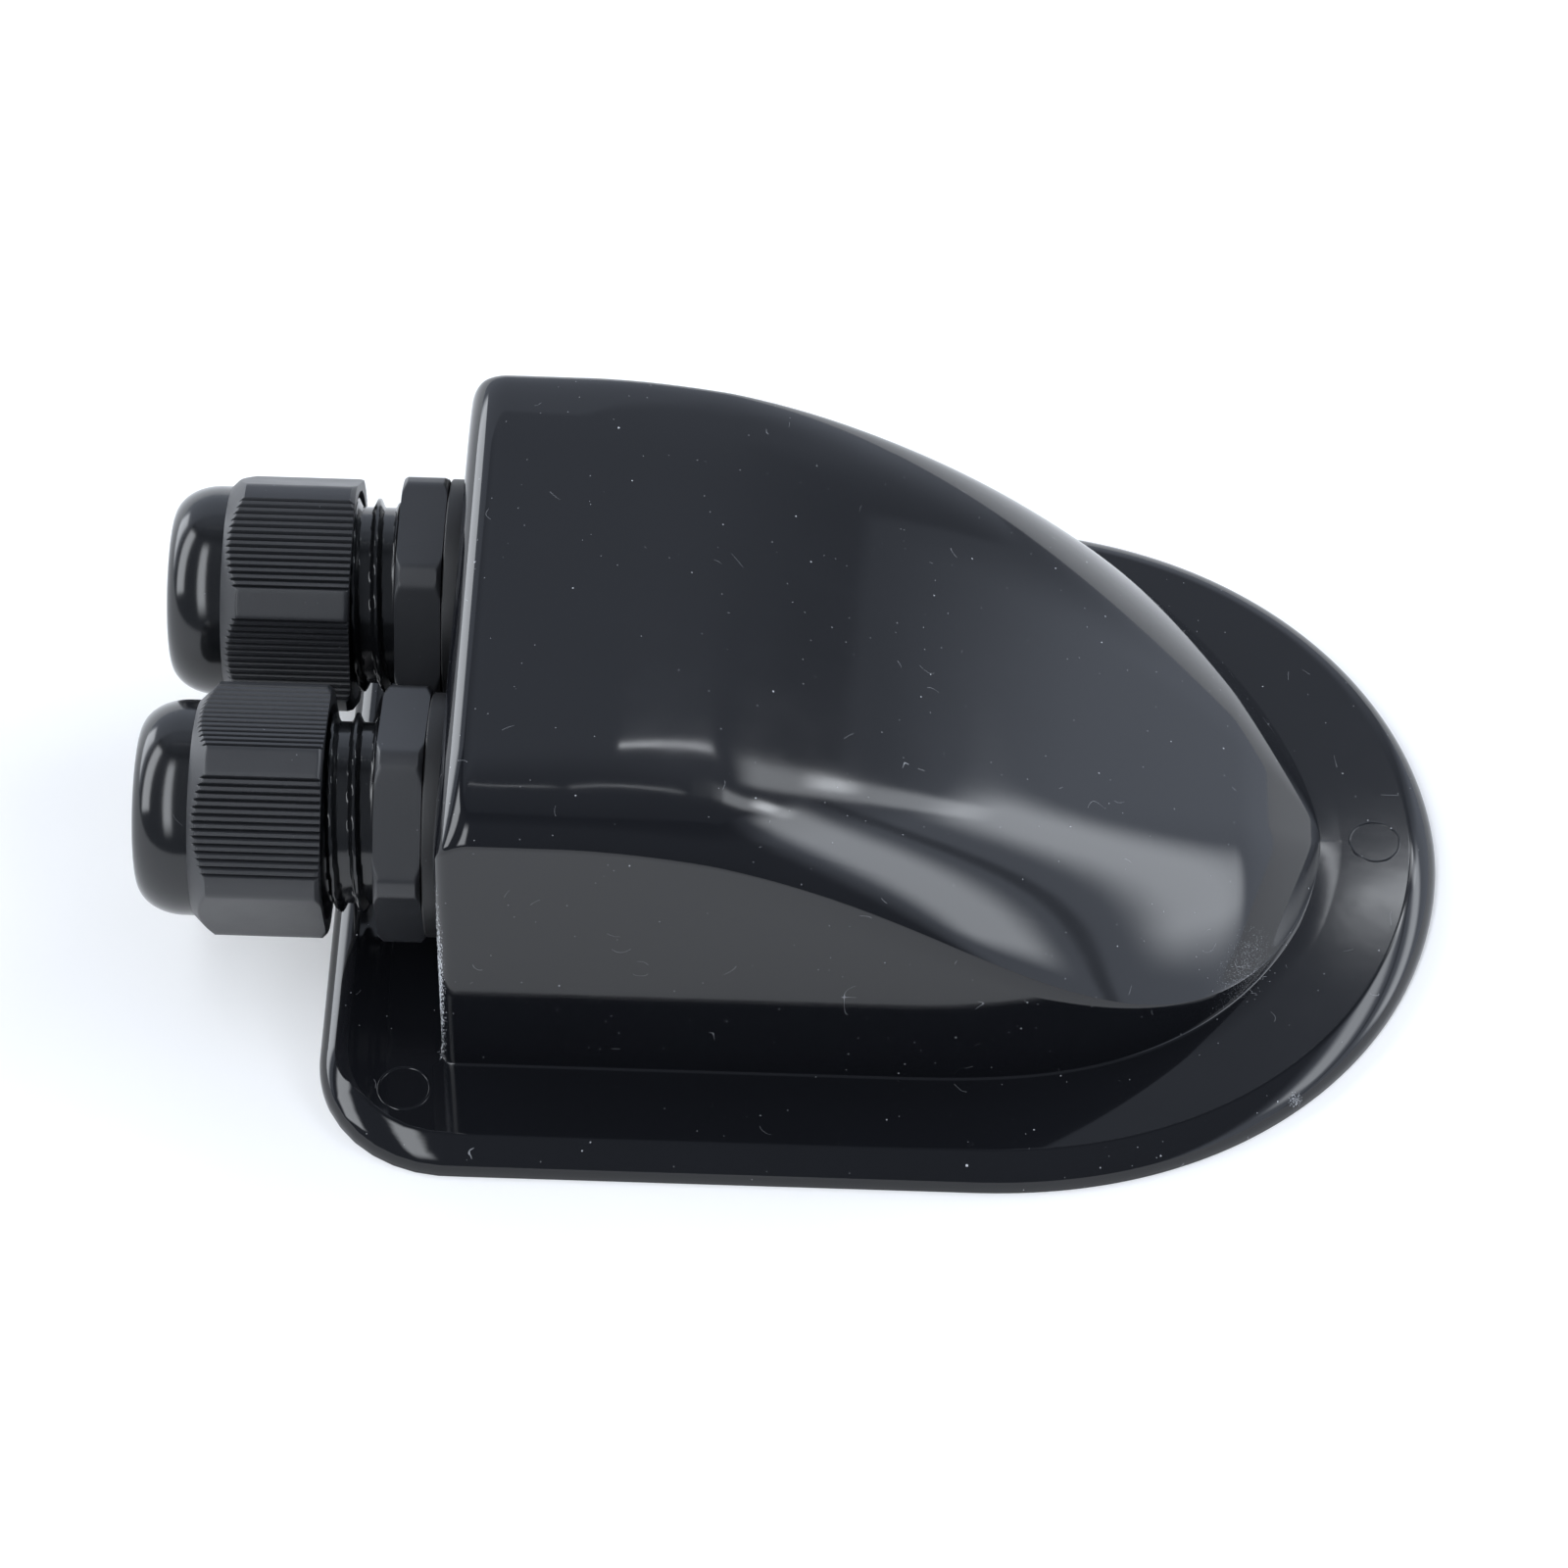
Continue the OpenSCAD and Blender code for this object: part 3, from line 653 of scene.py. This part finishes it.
@dataclass(frozen=True)
class Gland:
    """Sizes of one compression gland, measured outwards from the gland wall along its own axis."""

    side: str
    across: float
    hex_turn: float
    nut_turn: float
    nut_gap: float
    height: float = 21.602
    flats: float = 24.0
    hex_start: float = 1.8
    hex_end: float = 6.8
    spigot_end: float = 19.3
    hex_corner: float = 13.32
    thread_end: float = -8.2
    thread_r: float = 9.95
    passage_r: float = 7.2
    crest_r: float = 10.38
    root_r: float = 9.43
    pitch: float = 2.4
    seat_r: float = 8.35
    seat_floor: float = 9.8
    nut_bore_r: float = 10.68
    dome_r: float = 11.2
    mouth_r: float = 7.0
    skirt: float = 14.0
    skirt_start: float = 0.35
    nut_len: float = 20.0

    def placed(self, r: np.ndarray, angle: np.ndarray, out: np.ndarray) -> np.ndarray:
        """Points from radius, angle from straight up towards +Y, and distance outwards."""
        x = -out + 0 * r * angle
        return np.stack([x, self.across + r * np.sin(angle), self.height + r * np.cos(angle)], -1)

    def hexagon(self, angle: np.ndarray, turn: float) -> np.ndarray:
        """Radius of a hexagon at each angle: the soft least over its six flats."""
        total = sum(
            np.maximum(np.cos(angle - math.radians(turn + 30 + 60 * k)), 0.0) ** 240 for k in range(6)
        )
        return self.flats / 2 * total ** (-1 / 240)

    @staticmethod
    def polish(obj: bpy.types.Object, low: float, high: float, least_r: float, axis: tuple[float, float]) -> None:
        """Gives the second material to faces between two distances outwards and beyond a radius."""
        for face in obj.data.polygons:
            x, y, z = face.center / MM
            if low < -x < high and math.hypot(y - axis[0], z - axis[1]) > least_r:
                face.material_index = 1

    def body(self) -> bpy.types.Object:
        """Gland body: a closed profile carried round the axis, with a hexagon and two right-hand threads.

        A thread's radius is its root plus its depth where the distance outwards, less the turn's share
        of the pitch, lies near a whole number of pitches.
        """
        angle = np.linspace(0, 2 * np.pi, 240, endpoint=False)[None, :]
        out, r, kind = self.body_profile()
        out, r, kind = out[:, None], r[:, None], kind[:, None]
        turns = angle / (2 * np.pi)

        def thread(pitch: float, foot: float, crest: float, first: float) -> np.ndarray:
            away = np.abs((((out - first) / pitch - turns + 0.5) % 1.0) - 0.5)
            return np.clip((foot - away) / (foot - crest), 0, 1)

        ramp = np.clip((out - self.hex_end - 0.2) / 0.5, 0, 1) * np.clip((self.spigot_end - out - 0.15) / 0.7, 0, 1)
        coarse = self.root_r + (self.crest_r - self.root_r) * thread(self.pitch, 0.25, 0.07, self.hex_end) * ramp
        end = np.clip((out - self.thread_end) / 0.8, 0, 1)
        fine = self.thread_r - 0.55 + 0.55 * thread(1.5, 0.45, 0.08, 0.0) * end
        hexa = smooth_least(self.hexagon(angle, self.hex_turn), np.broadcast_to(r, (len(r), angle.shape[1])))
        radius = np.select([kind == 1, kind == 2, kind == 3], [coarse, hexa, fine], r + 0 * angle)
        shell = Shell()
        shell.patch(self.placed(radius, angle, out), closed_rows=True, closed_columns=True)
        obj = shell.build(f"{self.side}_gland_body_moulding", 38.0)
        self.polish(obj, self.hex_end + 0.05, self.spigot_end, self.seat_r + 0.6, (self.across, self.height))
        return obj

    def body_profile(self) -> tuple[np.ndarray, np.ndarray, np.ndarray]:
        """Rows of the gland body: distance outwards, radius and kind (0 plain, 1 coarse, 2 hexagon, 3 fine)."""
        corner = self.hex_corner
        rows: list[tuple[float, float, int]] = []
        rows += [(z, self.passage_r, 0) for z in np.linspace(self.thread_end + 0.3, self.seat_floor, 6)]
        rows += [(self.seat_floor, self.seat_r, 0), (self.spigot_end - 0.35, self.seat_r, 0),
                 (self.spigot_end, self.seat_r + 0.3, 0), (self.spigot_end, self.root_r - 0.15, 0)]
        rows += [(z, 0.0, 1) for z in np.linspace(self.spigot_end - 0.1, self.hex_end + 0.01, 104)]
        for z, r in ((self.hex_end, 10.5), (self.hex_end, 11.6), (self.hex_end - 0.06, corner - 0.62)):
            rows.append((z, r, 2))
        rows += [(self.hex_end - 0.06 - 0.5 * t, corner - 0.6 + 0.6 * t ** 0.8, 2) for t in np.linspace(0.1, 1, 8)]
        rows += [(z, corner, 2) for z in np.linspace(self.hex_end - 0.75, self.hex_start + 0.75, 5)]
        rows += [(self.hex_start + 0.06 + 0.5 * t, corner - 0.6 + 0.6 * t ** 0.8, 2) for t in np.linspace(1, 0.1, 8)]
        rows += [(self.hex_start, 11.6, 2), (self.hex_start, 10.2, 0)]
        rows += [(z, 0.0, 3) for z in np.linspace(self.hex_start - 0.05, self.thread_end + 0.05, 80)]
        rows += [(self.thread_end, self.thread_r - 0.9, 0), (self.thread_end, self.passage_r + 0.3, 0)]
        data = np.array(rows)
        return data[:, 0], data[:, 1], data[:, 2].astype(int)

    def skirt_angles(self) -> tuple[np.ndarray, np.ndarray]:
        """Angles round the skirt and the depth of the grip grooves there.

        Each ribbed flat has fourteen grooves whose floor is a squared sine, with flat crests between.
        """
        corner, trim, crest = self.flats / math.sqrt(3), 0.86, 0.45
        first = 2 * trim - corner / 2 + 0.15
        pitch = (corner - 2 * trim - 0.15 - 1.417) / (14 - crest)
        step = np.array([0.0, 0.08, 0.17, 0.275, 0.38, 0.47, 0.55, 0.7, 0.85])
        t = (first + pitch * (np.arange(14)[:, None] + step[None, :])).ravel()[:-2]
        depth = np.tile(np.where(step < 0.55, np.sin(np.pi * step / 0.55) ** 2, 0.0), 14)[:-2] * 0.42
        angles, depths = [], []
        for centre, way in ((30, 1), (150, -1), (210, 1), (330, -1)):
            a = math.radians(centre) + np.arctan2(way * t, self.flats / 2)
            angles.append(a[::way])
            depths.append((depth / np.cos(a - math.radians(centre)))[::way])
        plain = np.concatenate([
            np.linspace(angles[0][-1], angles[1][0], 34)[1:-1],
            np.linspace(angles[1][-1], angles[2][0], 20)[1:-1],
            np.linspace(angles[2][-1], angles[3][0], 34)[1:-1],
            np.linspace(angles[3][-1], angles[0][0] + 2 * np.pi, 20)[1:-1],
        ])
        angle = np.concatenate([*angles, plain])
        depth_all = np.concatenate([*depths, np.zeros(len(plain))])
        turn = np.argsort(angle)
        return angle[turn], depth_all[turn]

    def nut(self) -> bpy.types.Object:
        """Sealing nut: skirt with grip ribs, dome and bore as one closed profile carried round the axis."""
        angle, depth = self.skirt_angles()
        corner = self.flats / math.sqrt(3)
        power = 240
        total = sum(np.maximum(np.cos(angle - math.radians(30 + 60 * k)), 0.0) ** power for k in range(6))
        narrow = corner - 0.86
        total = total + sum(
            (np.maximum(np.cos(angle - math.radians(180 * k)), 0.0) * self.flats / 2 / narrow) ** power for k in range(2)
        )
        outline = self.flats / 2 * total ** (-1 / power) - depth
        out, limit = self.nut_profile()
        radius = smooth_least(
            np.broadcast_to(outline, (len(out), len(angle))), np.broadcast_to(limit[:, None], (len(out), len(angle))),
        )
        turned = angle[None, :] + math.radians(self.nut_turn)
        shell = Shell()
        shell.patch(self.placed(radius, turned, (out + self.hex_end + self.nut_gap)[:, None]), True, True)
        obj = shell.build(f"{self.side}_sealing_nut_moulding", 38.0)
        base = self.hex_end + self.nut_gap
        self.polish(obj, base + self.skirt + 0.02, base + self.nut_len, self.mouth_r + 0.25, (self.across, self.height))
        return obj

    def nut_profile(self) -> tuple[np.ndarray, np.ndarray]:
        """Rows of the sealing nut: distance from its open end and the limit of the radius there."""
        skirt_r = self.flats / math.sqrt(3) - 0.65
        face_r = self.mouth_r + 0.78
        straight = self.skirt + 1.08
        slope_start = self.skirt + self.dome_r - skirt_r
        bore = self.nut_bore_r
        start = self.skirt_start
        rows = [(start, bore + 0.5), (start, bore + 0.75), (start, skirt_r - 0.55)]
        rows += [(start + 0.5 * t, skirt_r - 0.5 + 0.5 * t) for t in np.linspace(0.04, 1, 8)]
        rows += [(z, skirt_r) for z in np.linspace(start + 0.7, slope_start - 0.3, 8)]
        rows += [(slope_start + (self.skirt - slope_start) * t, skirt_r + (self.dome_r - skirt_r) * t)
                 for t in np.linspace(0, 1, 30)]
        rows += [(z, self.dome_r) for z in np.linspace(self.skirt + 0.08, straight - 0.1, 4)]
        rows += [(straight + (self.nut_len - straight) * math.sin(a), face_r + (self.dome_r - face_r) * math.cos(a))
                 for a in np.linspace(0.0, math.pi / 2, 30)]
        rows += [(self.nut_len, self.mouth_r + 0.3), (self.nut_len - 0.09, self.mouth_r + 0.09),
                 (self.nut_len - 0.3, self.mouth_r), (18.5, self.mouth_r), (18.5, self.mouth_r + 0.18),
                 (12.0, bore), (8.0, bore), (4.0, bore), (start + 0.5, bore)]
        data = np.array(rows)
        return data[:, 0], data[:, 1]

    def locknut(self) -> bpy.types.Object:
        """Locknut inside the hood: a chamfered hexagon round a bore."""
        angle = np.linspace(0, 2 * np.pi, 240, endpoint=False)[None, :]
        top, low, corner = -3.0, -7.8, self.flats / math.sqrt(3) - 0.15
        rows = [(top, 10.4), (top, 12.0), (top - 0.06, corner - 0.6)]
        rows += [(top - 0.06 - 0.5 * t, corner - 0.6 + 0.6 * t) for t in np.linspace(0.15, 1, 6)]
        rows += [(z, corner + 0.6) for z in np.linspace(top - 0.8, low + 0.8, 4)]
        rows += [(low + 0.06 + 0.5 * t, corner - 0.6 + 0.6 * t) for t in np.linspace(1, 0.15, 6)]
        rows += [(low, 12.0), (low, 10.4), (low + 0.4, 10.0), (top - 0.4, 10.0)]
        data = np.array(rows)
        out, limit = data[:, :1], data[:, 1:]
        radius = smooth_least(
            np.broadcast_to(self.hexagon(angle, 0.0), (len(out), 240)), np.broadcast_to(limit, (len(out), 240)),
        )
        shell = Shell()
        shell.patch(self.placed(radius, angle, out), True, True)
        return shell.build(f"{self.side}_locknut_moulding", 38.0)

    def washer(self) -> bpy.types.Object:
        """Sealing washer between the hexagon and the wall, with soft rims."""
        soft, outer, inner, thick = 0.22, 12.7, 10.08, 1.8
        rows = [(0.0, inner + 0.1), (0.0, outer - soft)]
        rows += [(soft * (1 - math.cos(a)), outer - soft + soft * math.sin(a)) for a in np.linspace(0.2, 1.57, 6)]
        rows += [(thick - soft * (1 - math.sin(a)), outer - soft * (1 - math.cos(a))) for a in np.linspace(0, 1.37, 6)]
        rows += [(thick, outer - soft - 0.02), (thick, inner + 0.1), (thick - 0.1, inner), (0.1, inner)]
        data = np.array(rows)
        angle = np.linspace(0, 2 * np.pi, 180, endpoint=False)[None, :]
        shell = Shell()
        shell.patch(self.placed(data[:, 1:] + 0 * angle, angle, data[:, :1]), True, True)
        return shell.build(f"{self.side}_washer_moulding", 38.0)


# ---------------------------------------------------------------- studio

@dataclass(frozen=True)
class Studio:
    """Floor, soft strip lamps on both sides, a dim room and the photograph's camera."""

    right: tuple[float, float, float] = (0.9995, 0.0273, 0.0161)
    up: tuple[float, float, float] = (-0.0313, 0.7734, 0.6332)
    back: tuple[float, float, float] = (0.0048, -0.6334, 0.7738)
    eye_mm: tuple[float, float, float] = (37.47, -364.67, 455.65)
    lens: float = 123.376
    away: float = 4.0

    def camera(self) -> None:
        """Sets up the camera at the photograph's place and angle."""
        data = bpy.data.cameras.new("camera")
        data.lens, data.sensor_width, data.clip_start = self.lens, 36.0, 0.01
        obj = bpy.data.objects.new("camera", data)
        axes = Matrix((self.right, self.up, self.back)).transposed().to_4x4()
        obj.matrix_world = Matrix.Translation(Vector(self.eye_mm) * MM) @ axes
        bpy.context.scene.collection.objects.link(obj)
        bpy.context.scene.camera = obj

    def floor(self) -> None:
        """A large white floor below the box, which keeps its shadow."""
        shell = Shell()
        reach = np.linspace(-2500, 2500, 9)
        x, y = np.meshgrid(reach, reach, indexing="ij")
        shell.patch(np.stack([x, y, 0 * x - 0.05], -1))
        obj = shell.build("studio_floor", 40.0)
        material = bpy.data.materials.new("matt_white_board")
        material.use_nodes = True
        tree = material.node_tree
        tree.nodes.clear()
        diffuse = add_node(tree, "ShaderNodeBsdfDiffuse", {"Color": (0.84, 0.84, 0.84, 1.0)})
        path = add_node(tree, "ShaderNodeLightPath")
        seen = path.outputs["Is Camera Ray"]
        for ray in ("Is Glossy Ray", "Is Transmission Ray"):
            seen = add_node(tree, "ShaderNodeMath", {0: seen, 1: path.outputs[ray]}, operation="MAXIMUM").outputs[0]
        lift = add_node(tree, "ShaderNodeMath", {0: seen, 1: 0.2}, operation="MULTIPLY")
        glow = add_node(tree, "ShaderNodeEmission", {"Color": (1.0, 1.0, 1.0, 1.0), "Strength": lift.outputs[0]})
        both = add_node(tree, "ShaderNodeAddShader", {0: diffuse.outputs[0], 1: glow.outputs[0]})
        add_node(tree, "ShaderNodeOutputMaterial", {"Surface": both.outputs[0]})
        obj.data.materials.append(material)

    def strip(
        self, name: str, turn: float, width: float, low: float, high: float, glow: float,
        soft: tuple[float, float] = (0.25, 0.05),
    ) -> None:
        """A strip lamp that stands along the view's upward direction.

        Args:
            name: the lamp's name.
            turn: angle of its middle from the right of the view, towards the viewer, in degrees.
            width: its width as an angle, in degrees.
            low: its lower end as an angle along the strip, in degrees.
            high: its upper end as an angle along the strip, in degrees.
            glow: brightness of its face, where the white floor is 1.
            soft: the share of its width and of its height over which each edge dims.
        """
        away = self.away
        right, up, back = (Vector(v) for v in (self.right, self.up, self.back))
        toward = right * math.cos(math.radians(turn)) + back * math.sin(math.radians(turn))
        a, b = away * math.tan(math.radians(low)), away * math.tan(math.radians(high))
        side = up.cross(toward).normalized()
        middle = Vector((0.03, 0.0, 0.02)) + toward * away + up * ((a + b) / 2)
        size = (2 * away * math.tan(math.radians(width / 2)), b - a)
        self.lamp(name, Matrix((side, up, toward)), middle, size, glow, soft)

    def lamp(
        self, name: str, axes: Matrix, middle: Vector, size: tuple[float, float], glow: float,
        soft: tuple[float, float],
    ) -> None:
        """A rectangular lamp whose face dims towards its edges.

        Args:
            name: the lamp's name.
            axes: its directions along the width, along the height and away from the box.
            middle: its middle.
            size: width and height in metres.
            glow: brightness of its face, where the white floor is 1.
            soft: the share of the width and of the height over which each edge dims.
        """
        data = bpy.data.lights.new(name, "AREA")
        data.shape = "RECTANGLE"
        data.size, data.size_y = size
        data.energy = glow * size[0] * size[1] * math.pi
        data.color = (0.96, 1.0, 1.05)
        data.use_nodes = True
        tree = data.node_tree
        tree.nodes.clear()
        face = add_node(tree, "ShaderNodeSeparateXYZ", {0: add_node(tree, "ShaderNodeNewGeometry").outputs["Parametric"]})
        level: bpy.types.NodeSocket | float = 1.0
        for k in (0, 1):
            off = add_node(tree, "ShaderNodeMath", {0: face.outputs[k], 1: 0.5}, operation="SUBTRACT")
            off = add_node(tree, "ShaderNodeMath", {0: off.outputs[0]}, operation="ABSOLUTE")
            fade = add_node(
                tree, "ShaderNodeMapRange",
                {"Value": off.outputs[0], "From Min": 0.5 - soft[k], "From Max": 0.5, "To Min": 1.0, "To Max": 0.0},
                interpolation_type="SMOOTHSTEP",
            )
            level = add_node(
                tree, "ShaderNodeMath", {0: fade.outputs["Result"], 1: level}, operation="MULTIPLY",
            ).outputs[0]
        glow_node = add_node(tree, "ShaderNodeEmission", {"Color": (1.0, 1.0, 1.0, 1.0), "Strength": level})
        add_node(tree, "ShaderNodeOutputLight", {"Surface": glow_node.outputs[0]})
        obj = bpy.data.objects.new(name, data)
        obj.matrix_world = Matrix.Translation(middle) @ axes.transposed().to_4x4()
        obj.visible_camera = False
        bpy.context.scene.collection.objects.link(obj)

    def room(self) -> None:
        """The dim room as the hood mirrors it: a pale screen to the right, grey behind and above, dark in front.

        A direction is given by its turn from the view's right towards the viewer, and by its share of
        the view's upward direction. The screen's top edge climbs with the turn.
        """
        world = bpy.data.worlds.new("studio_room")
        bpy.context.scene.world = world
        world.use_nodes = True
        tree = world.node_tree
        tree.nodes.clear()
        way = add_node(tree, "ShaderNodeTexCoord").outputs["Generated"]
        right, up, back = (
            add_node(tree, "ShaderNodeVectorMath", {0: way, 1: axis}, operation="DOT_PRODUCT").outputs["Value"]
            for axis in (self.right, self.up, self.back)
        )
        turn = add_node(tree, "ShaderNodeMath", {0: back, 1: right}, operation="ARCTAN2").outputs[0]
        behind = add_node(tree, "ShaderNodeMath", {0: turn, 1: 0.0}, operation="MINIMUM").outputs[0]
        edge = add_node(tree, "ShaderNodeMath", {0: behind, 1: -0.22, 2: up}, operation="MULTIPLY_ADD").outputs[0]
        off = add_node(tree, "ShaderNodeMath", {0: turn, 1: 0.305}, operation="SUBTRACT").outputs[0]
        seam = add_node(tree, "ShaderNodeMath", {0: off}, operation="ABSOLUTE").outputs[0]
        # What each level follows, where it starts and ends there, and its first and last brightness.
        table = (
            (edge, 0.74, 0.86, 1.12, 0.5), (turn, 0.62, 0.8, 1.0, 0.17), (turn, -0.9, -0.25, 0.58, 1.0),
            (seam, 0.008, 0.035, 0.5, 1.12), (edge, 0.87, 0.98, 0.37, 0.56), (back, 0.2, 0.32, 1.0, 0.58),
            (turn, -0.95, -0.35, 0.2, 0.0), (edge, 0.855, 0.868, 0.0, 1.0),
        )
        levels = [
            add_node(
                tree, "ShaderNodeMapRange",
                {"Value": value, "From Min": low, "From Max": high, "To Min": first, "To Max": last},
                interpolation_type="SMOOTHSTEP",
            ).outputs["Result"]
            for value, low, high, first, last in table
        ]
        screen = levels[0]
        for level in levels[1:4]:
            screen = add_node(tree, "ShaderNodeMath", {0: screen, 1: level}, operation="MULTIPLY").outputs[0]
        above = add_node(
            tree, "ShaderNodeMath", {0: levels[4], 1: levels[5], 2: levels[6]}, operation="MULTIPLY_ADD",
        ).outputs[0]
        mixed = add_node(tree, "ShaderNodeMix", {0: levels[7], 2: screen, 3: above}).outputs[0]
        sky = add_node(tree, "ShaderNodeBackground", {"Color": (0.88, 0.97, 1.14, 1.0), "Strength": mixed})
        add_node(tree, "ShaderNodeOutputWorld", {"Surface": sky.outputs[0]})

    def tube(
        self, name: str, first: tuple[float, float], last: tuple[float, float], thick: float, glow: float,
        soft: float = 0.15,
    ) -> None:
        """A narrow lamp between two directions, which draws a line along the hood's near edge.

        Args:
            name: the lamp's name.
            first: direction of one end, as degrees round from +X and degrees up.
            last: direction of the other end.
            thick: its thickness as an angle, in degrees.
            glow: brightness of its face, where the white floor is 1.
            soft: the share of its length over which each end dims.
        """
        turns = np.radians([first[0], last[0]])
        rises = np.radians([first[1], last[1]])
        ends = np.stack([np.cos(turns) * np.cos(rises), np.sin(turns) * np.cos(rises), np.sin(rises)], -1)
        a, b = (Vector(v) for v in ends)
        middle, along = (a + b) / 2, (b - a).normalized()
        toward = (middle - along * middle.dot(along)).normalized()
        axes = Matrix((along, toward.cross(along), toward))
        size = ((b - a).length * self.away, math.radians(thick) * self.away)
        self.lamp(name, axes, Vector((0.03, 0.0, 0.02)) + middle * self.away, size, glow, (soft, 0.3))

    def build(self) -> None:
        """Builds the whole studio."""
        self.camera()
        self.floor()
        self.room()
        self.strip("strip_right_upper", 4.0, 18.0, -4.0, 52.0, 4.2, (0.4, 0.18))
        self.strip("strip_right_lower", 29.5, 18.5, -12.0, 60.0, 4.2, (0.35, 0.13))
        self.strip("strip_left_front", 113.0, 20.0, -34.0, 52.0, 5.2, (0.3, 0.25))
        self.strip("strip_left_middle", 160.0, 28.0, -4.0, 54.0, 5.2)
        self.strip("strip_left_back", 202.0, 32.0, 3.0, 50.0, 4.6)
        self.tube("upper_end_of_right_upper", (62.0, 46.8), (38.5, 30.0), 4.4, 3.2)
        self.tube("upper_end_of_right_lower", (62.5, 52.0), (46.0, 46.2), 3.6, 3.4)
        self.tube("flash_right_upper", (54.5, 42.0), (48.0, 37.4), 2.4, 6.0, 0.45)
        self.tube("flash_right_lower", (55.5, 48.9), (48.5, 47.0), 2.8, 8.0, 0.45)
        self.tube("tube_behind", (79.5, 51.3), (64.3, 46.7), 0.8, 9.0, 0.03)
        self.tube("tube_above", (122.0, 52.6), (92.0, 59.6), 0.25, 5.0, 0.1)
        self.tube("tube_above_right", (92.0, 59.6), (62.0, 53.2), 0.25, 7.0, 0.1)


def main() -> None:
    """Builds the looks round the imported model."""
    logging.basicConfig(level=logging.INFO, format="%(name)s: %(message)s")
    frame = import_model()
    nodes = frame["nodes"]
    paints = Paints()
    Studio().build()

    housing = Housing().build()
    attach(housing, "box")
    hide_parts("housing")
    paints.on(housing, Surface.GLOSS_ABS)

    near = Gland("near", -15.0, 45.5, -16.8, 5.0)
    far = Gland("far", 15.0, 27.8, -46.9, 4.4)
    for gland in (near, far):
        made = (
            (gland.body(), "box", "gland_body", "gland_nylon", (Surface.NYLON, Surface.POLISHED_NYLON)),
            (gland.nut(), f"{gland.side}_nut", "sealing_nut", "gland_nylon", (Surface.NYLON, Surface.POLISHED_NYLON)),
            (gland.locknut(), "box", "locknut", "gland_nylon", (Surface.NYLON,)),
            (gland.washer(), "box", "gasket", "gasket_rubber", (Surface.RUBBER,)),
        )
        for piece, body, node, slot, surfaces in made:
            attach(piece, body)
            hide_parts(f"{gland.side}_{node}")
            paints.on(piece, *surfaces)
        paints.on(nodes[f"{gland.side}_claw"], Surface.CLAW_NYLON)
        paints.on(nodes[f"{gland.side}_seal"], Surface.RUBBER)
    view = bpy.context.scene.view_settings
    view.view_transform = "Standard"


if __name__ == "__main__":
    main()
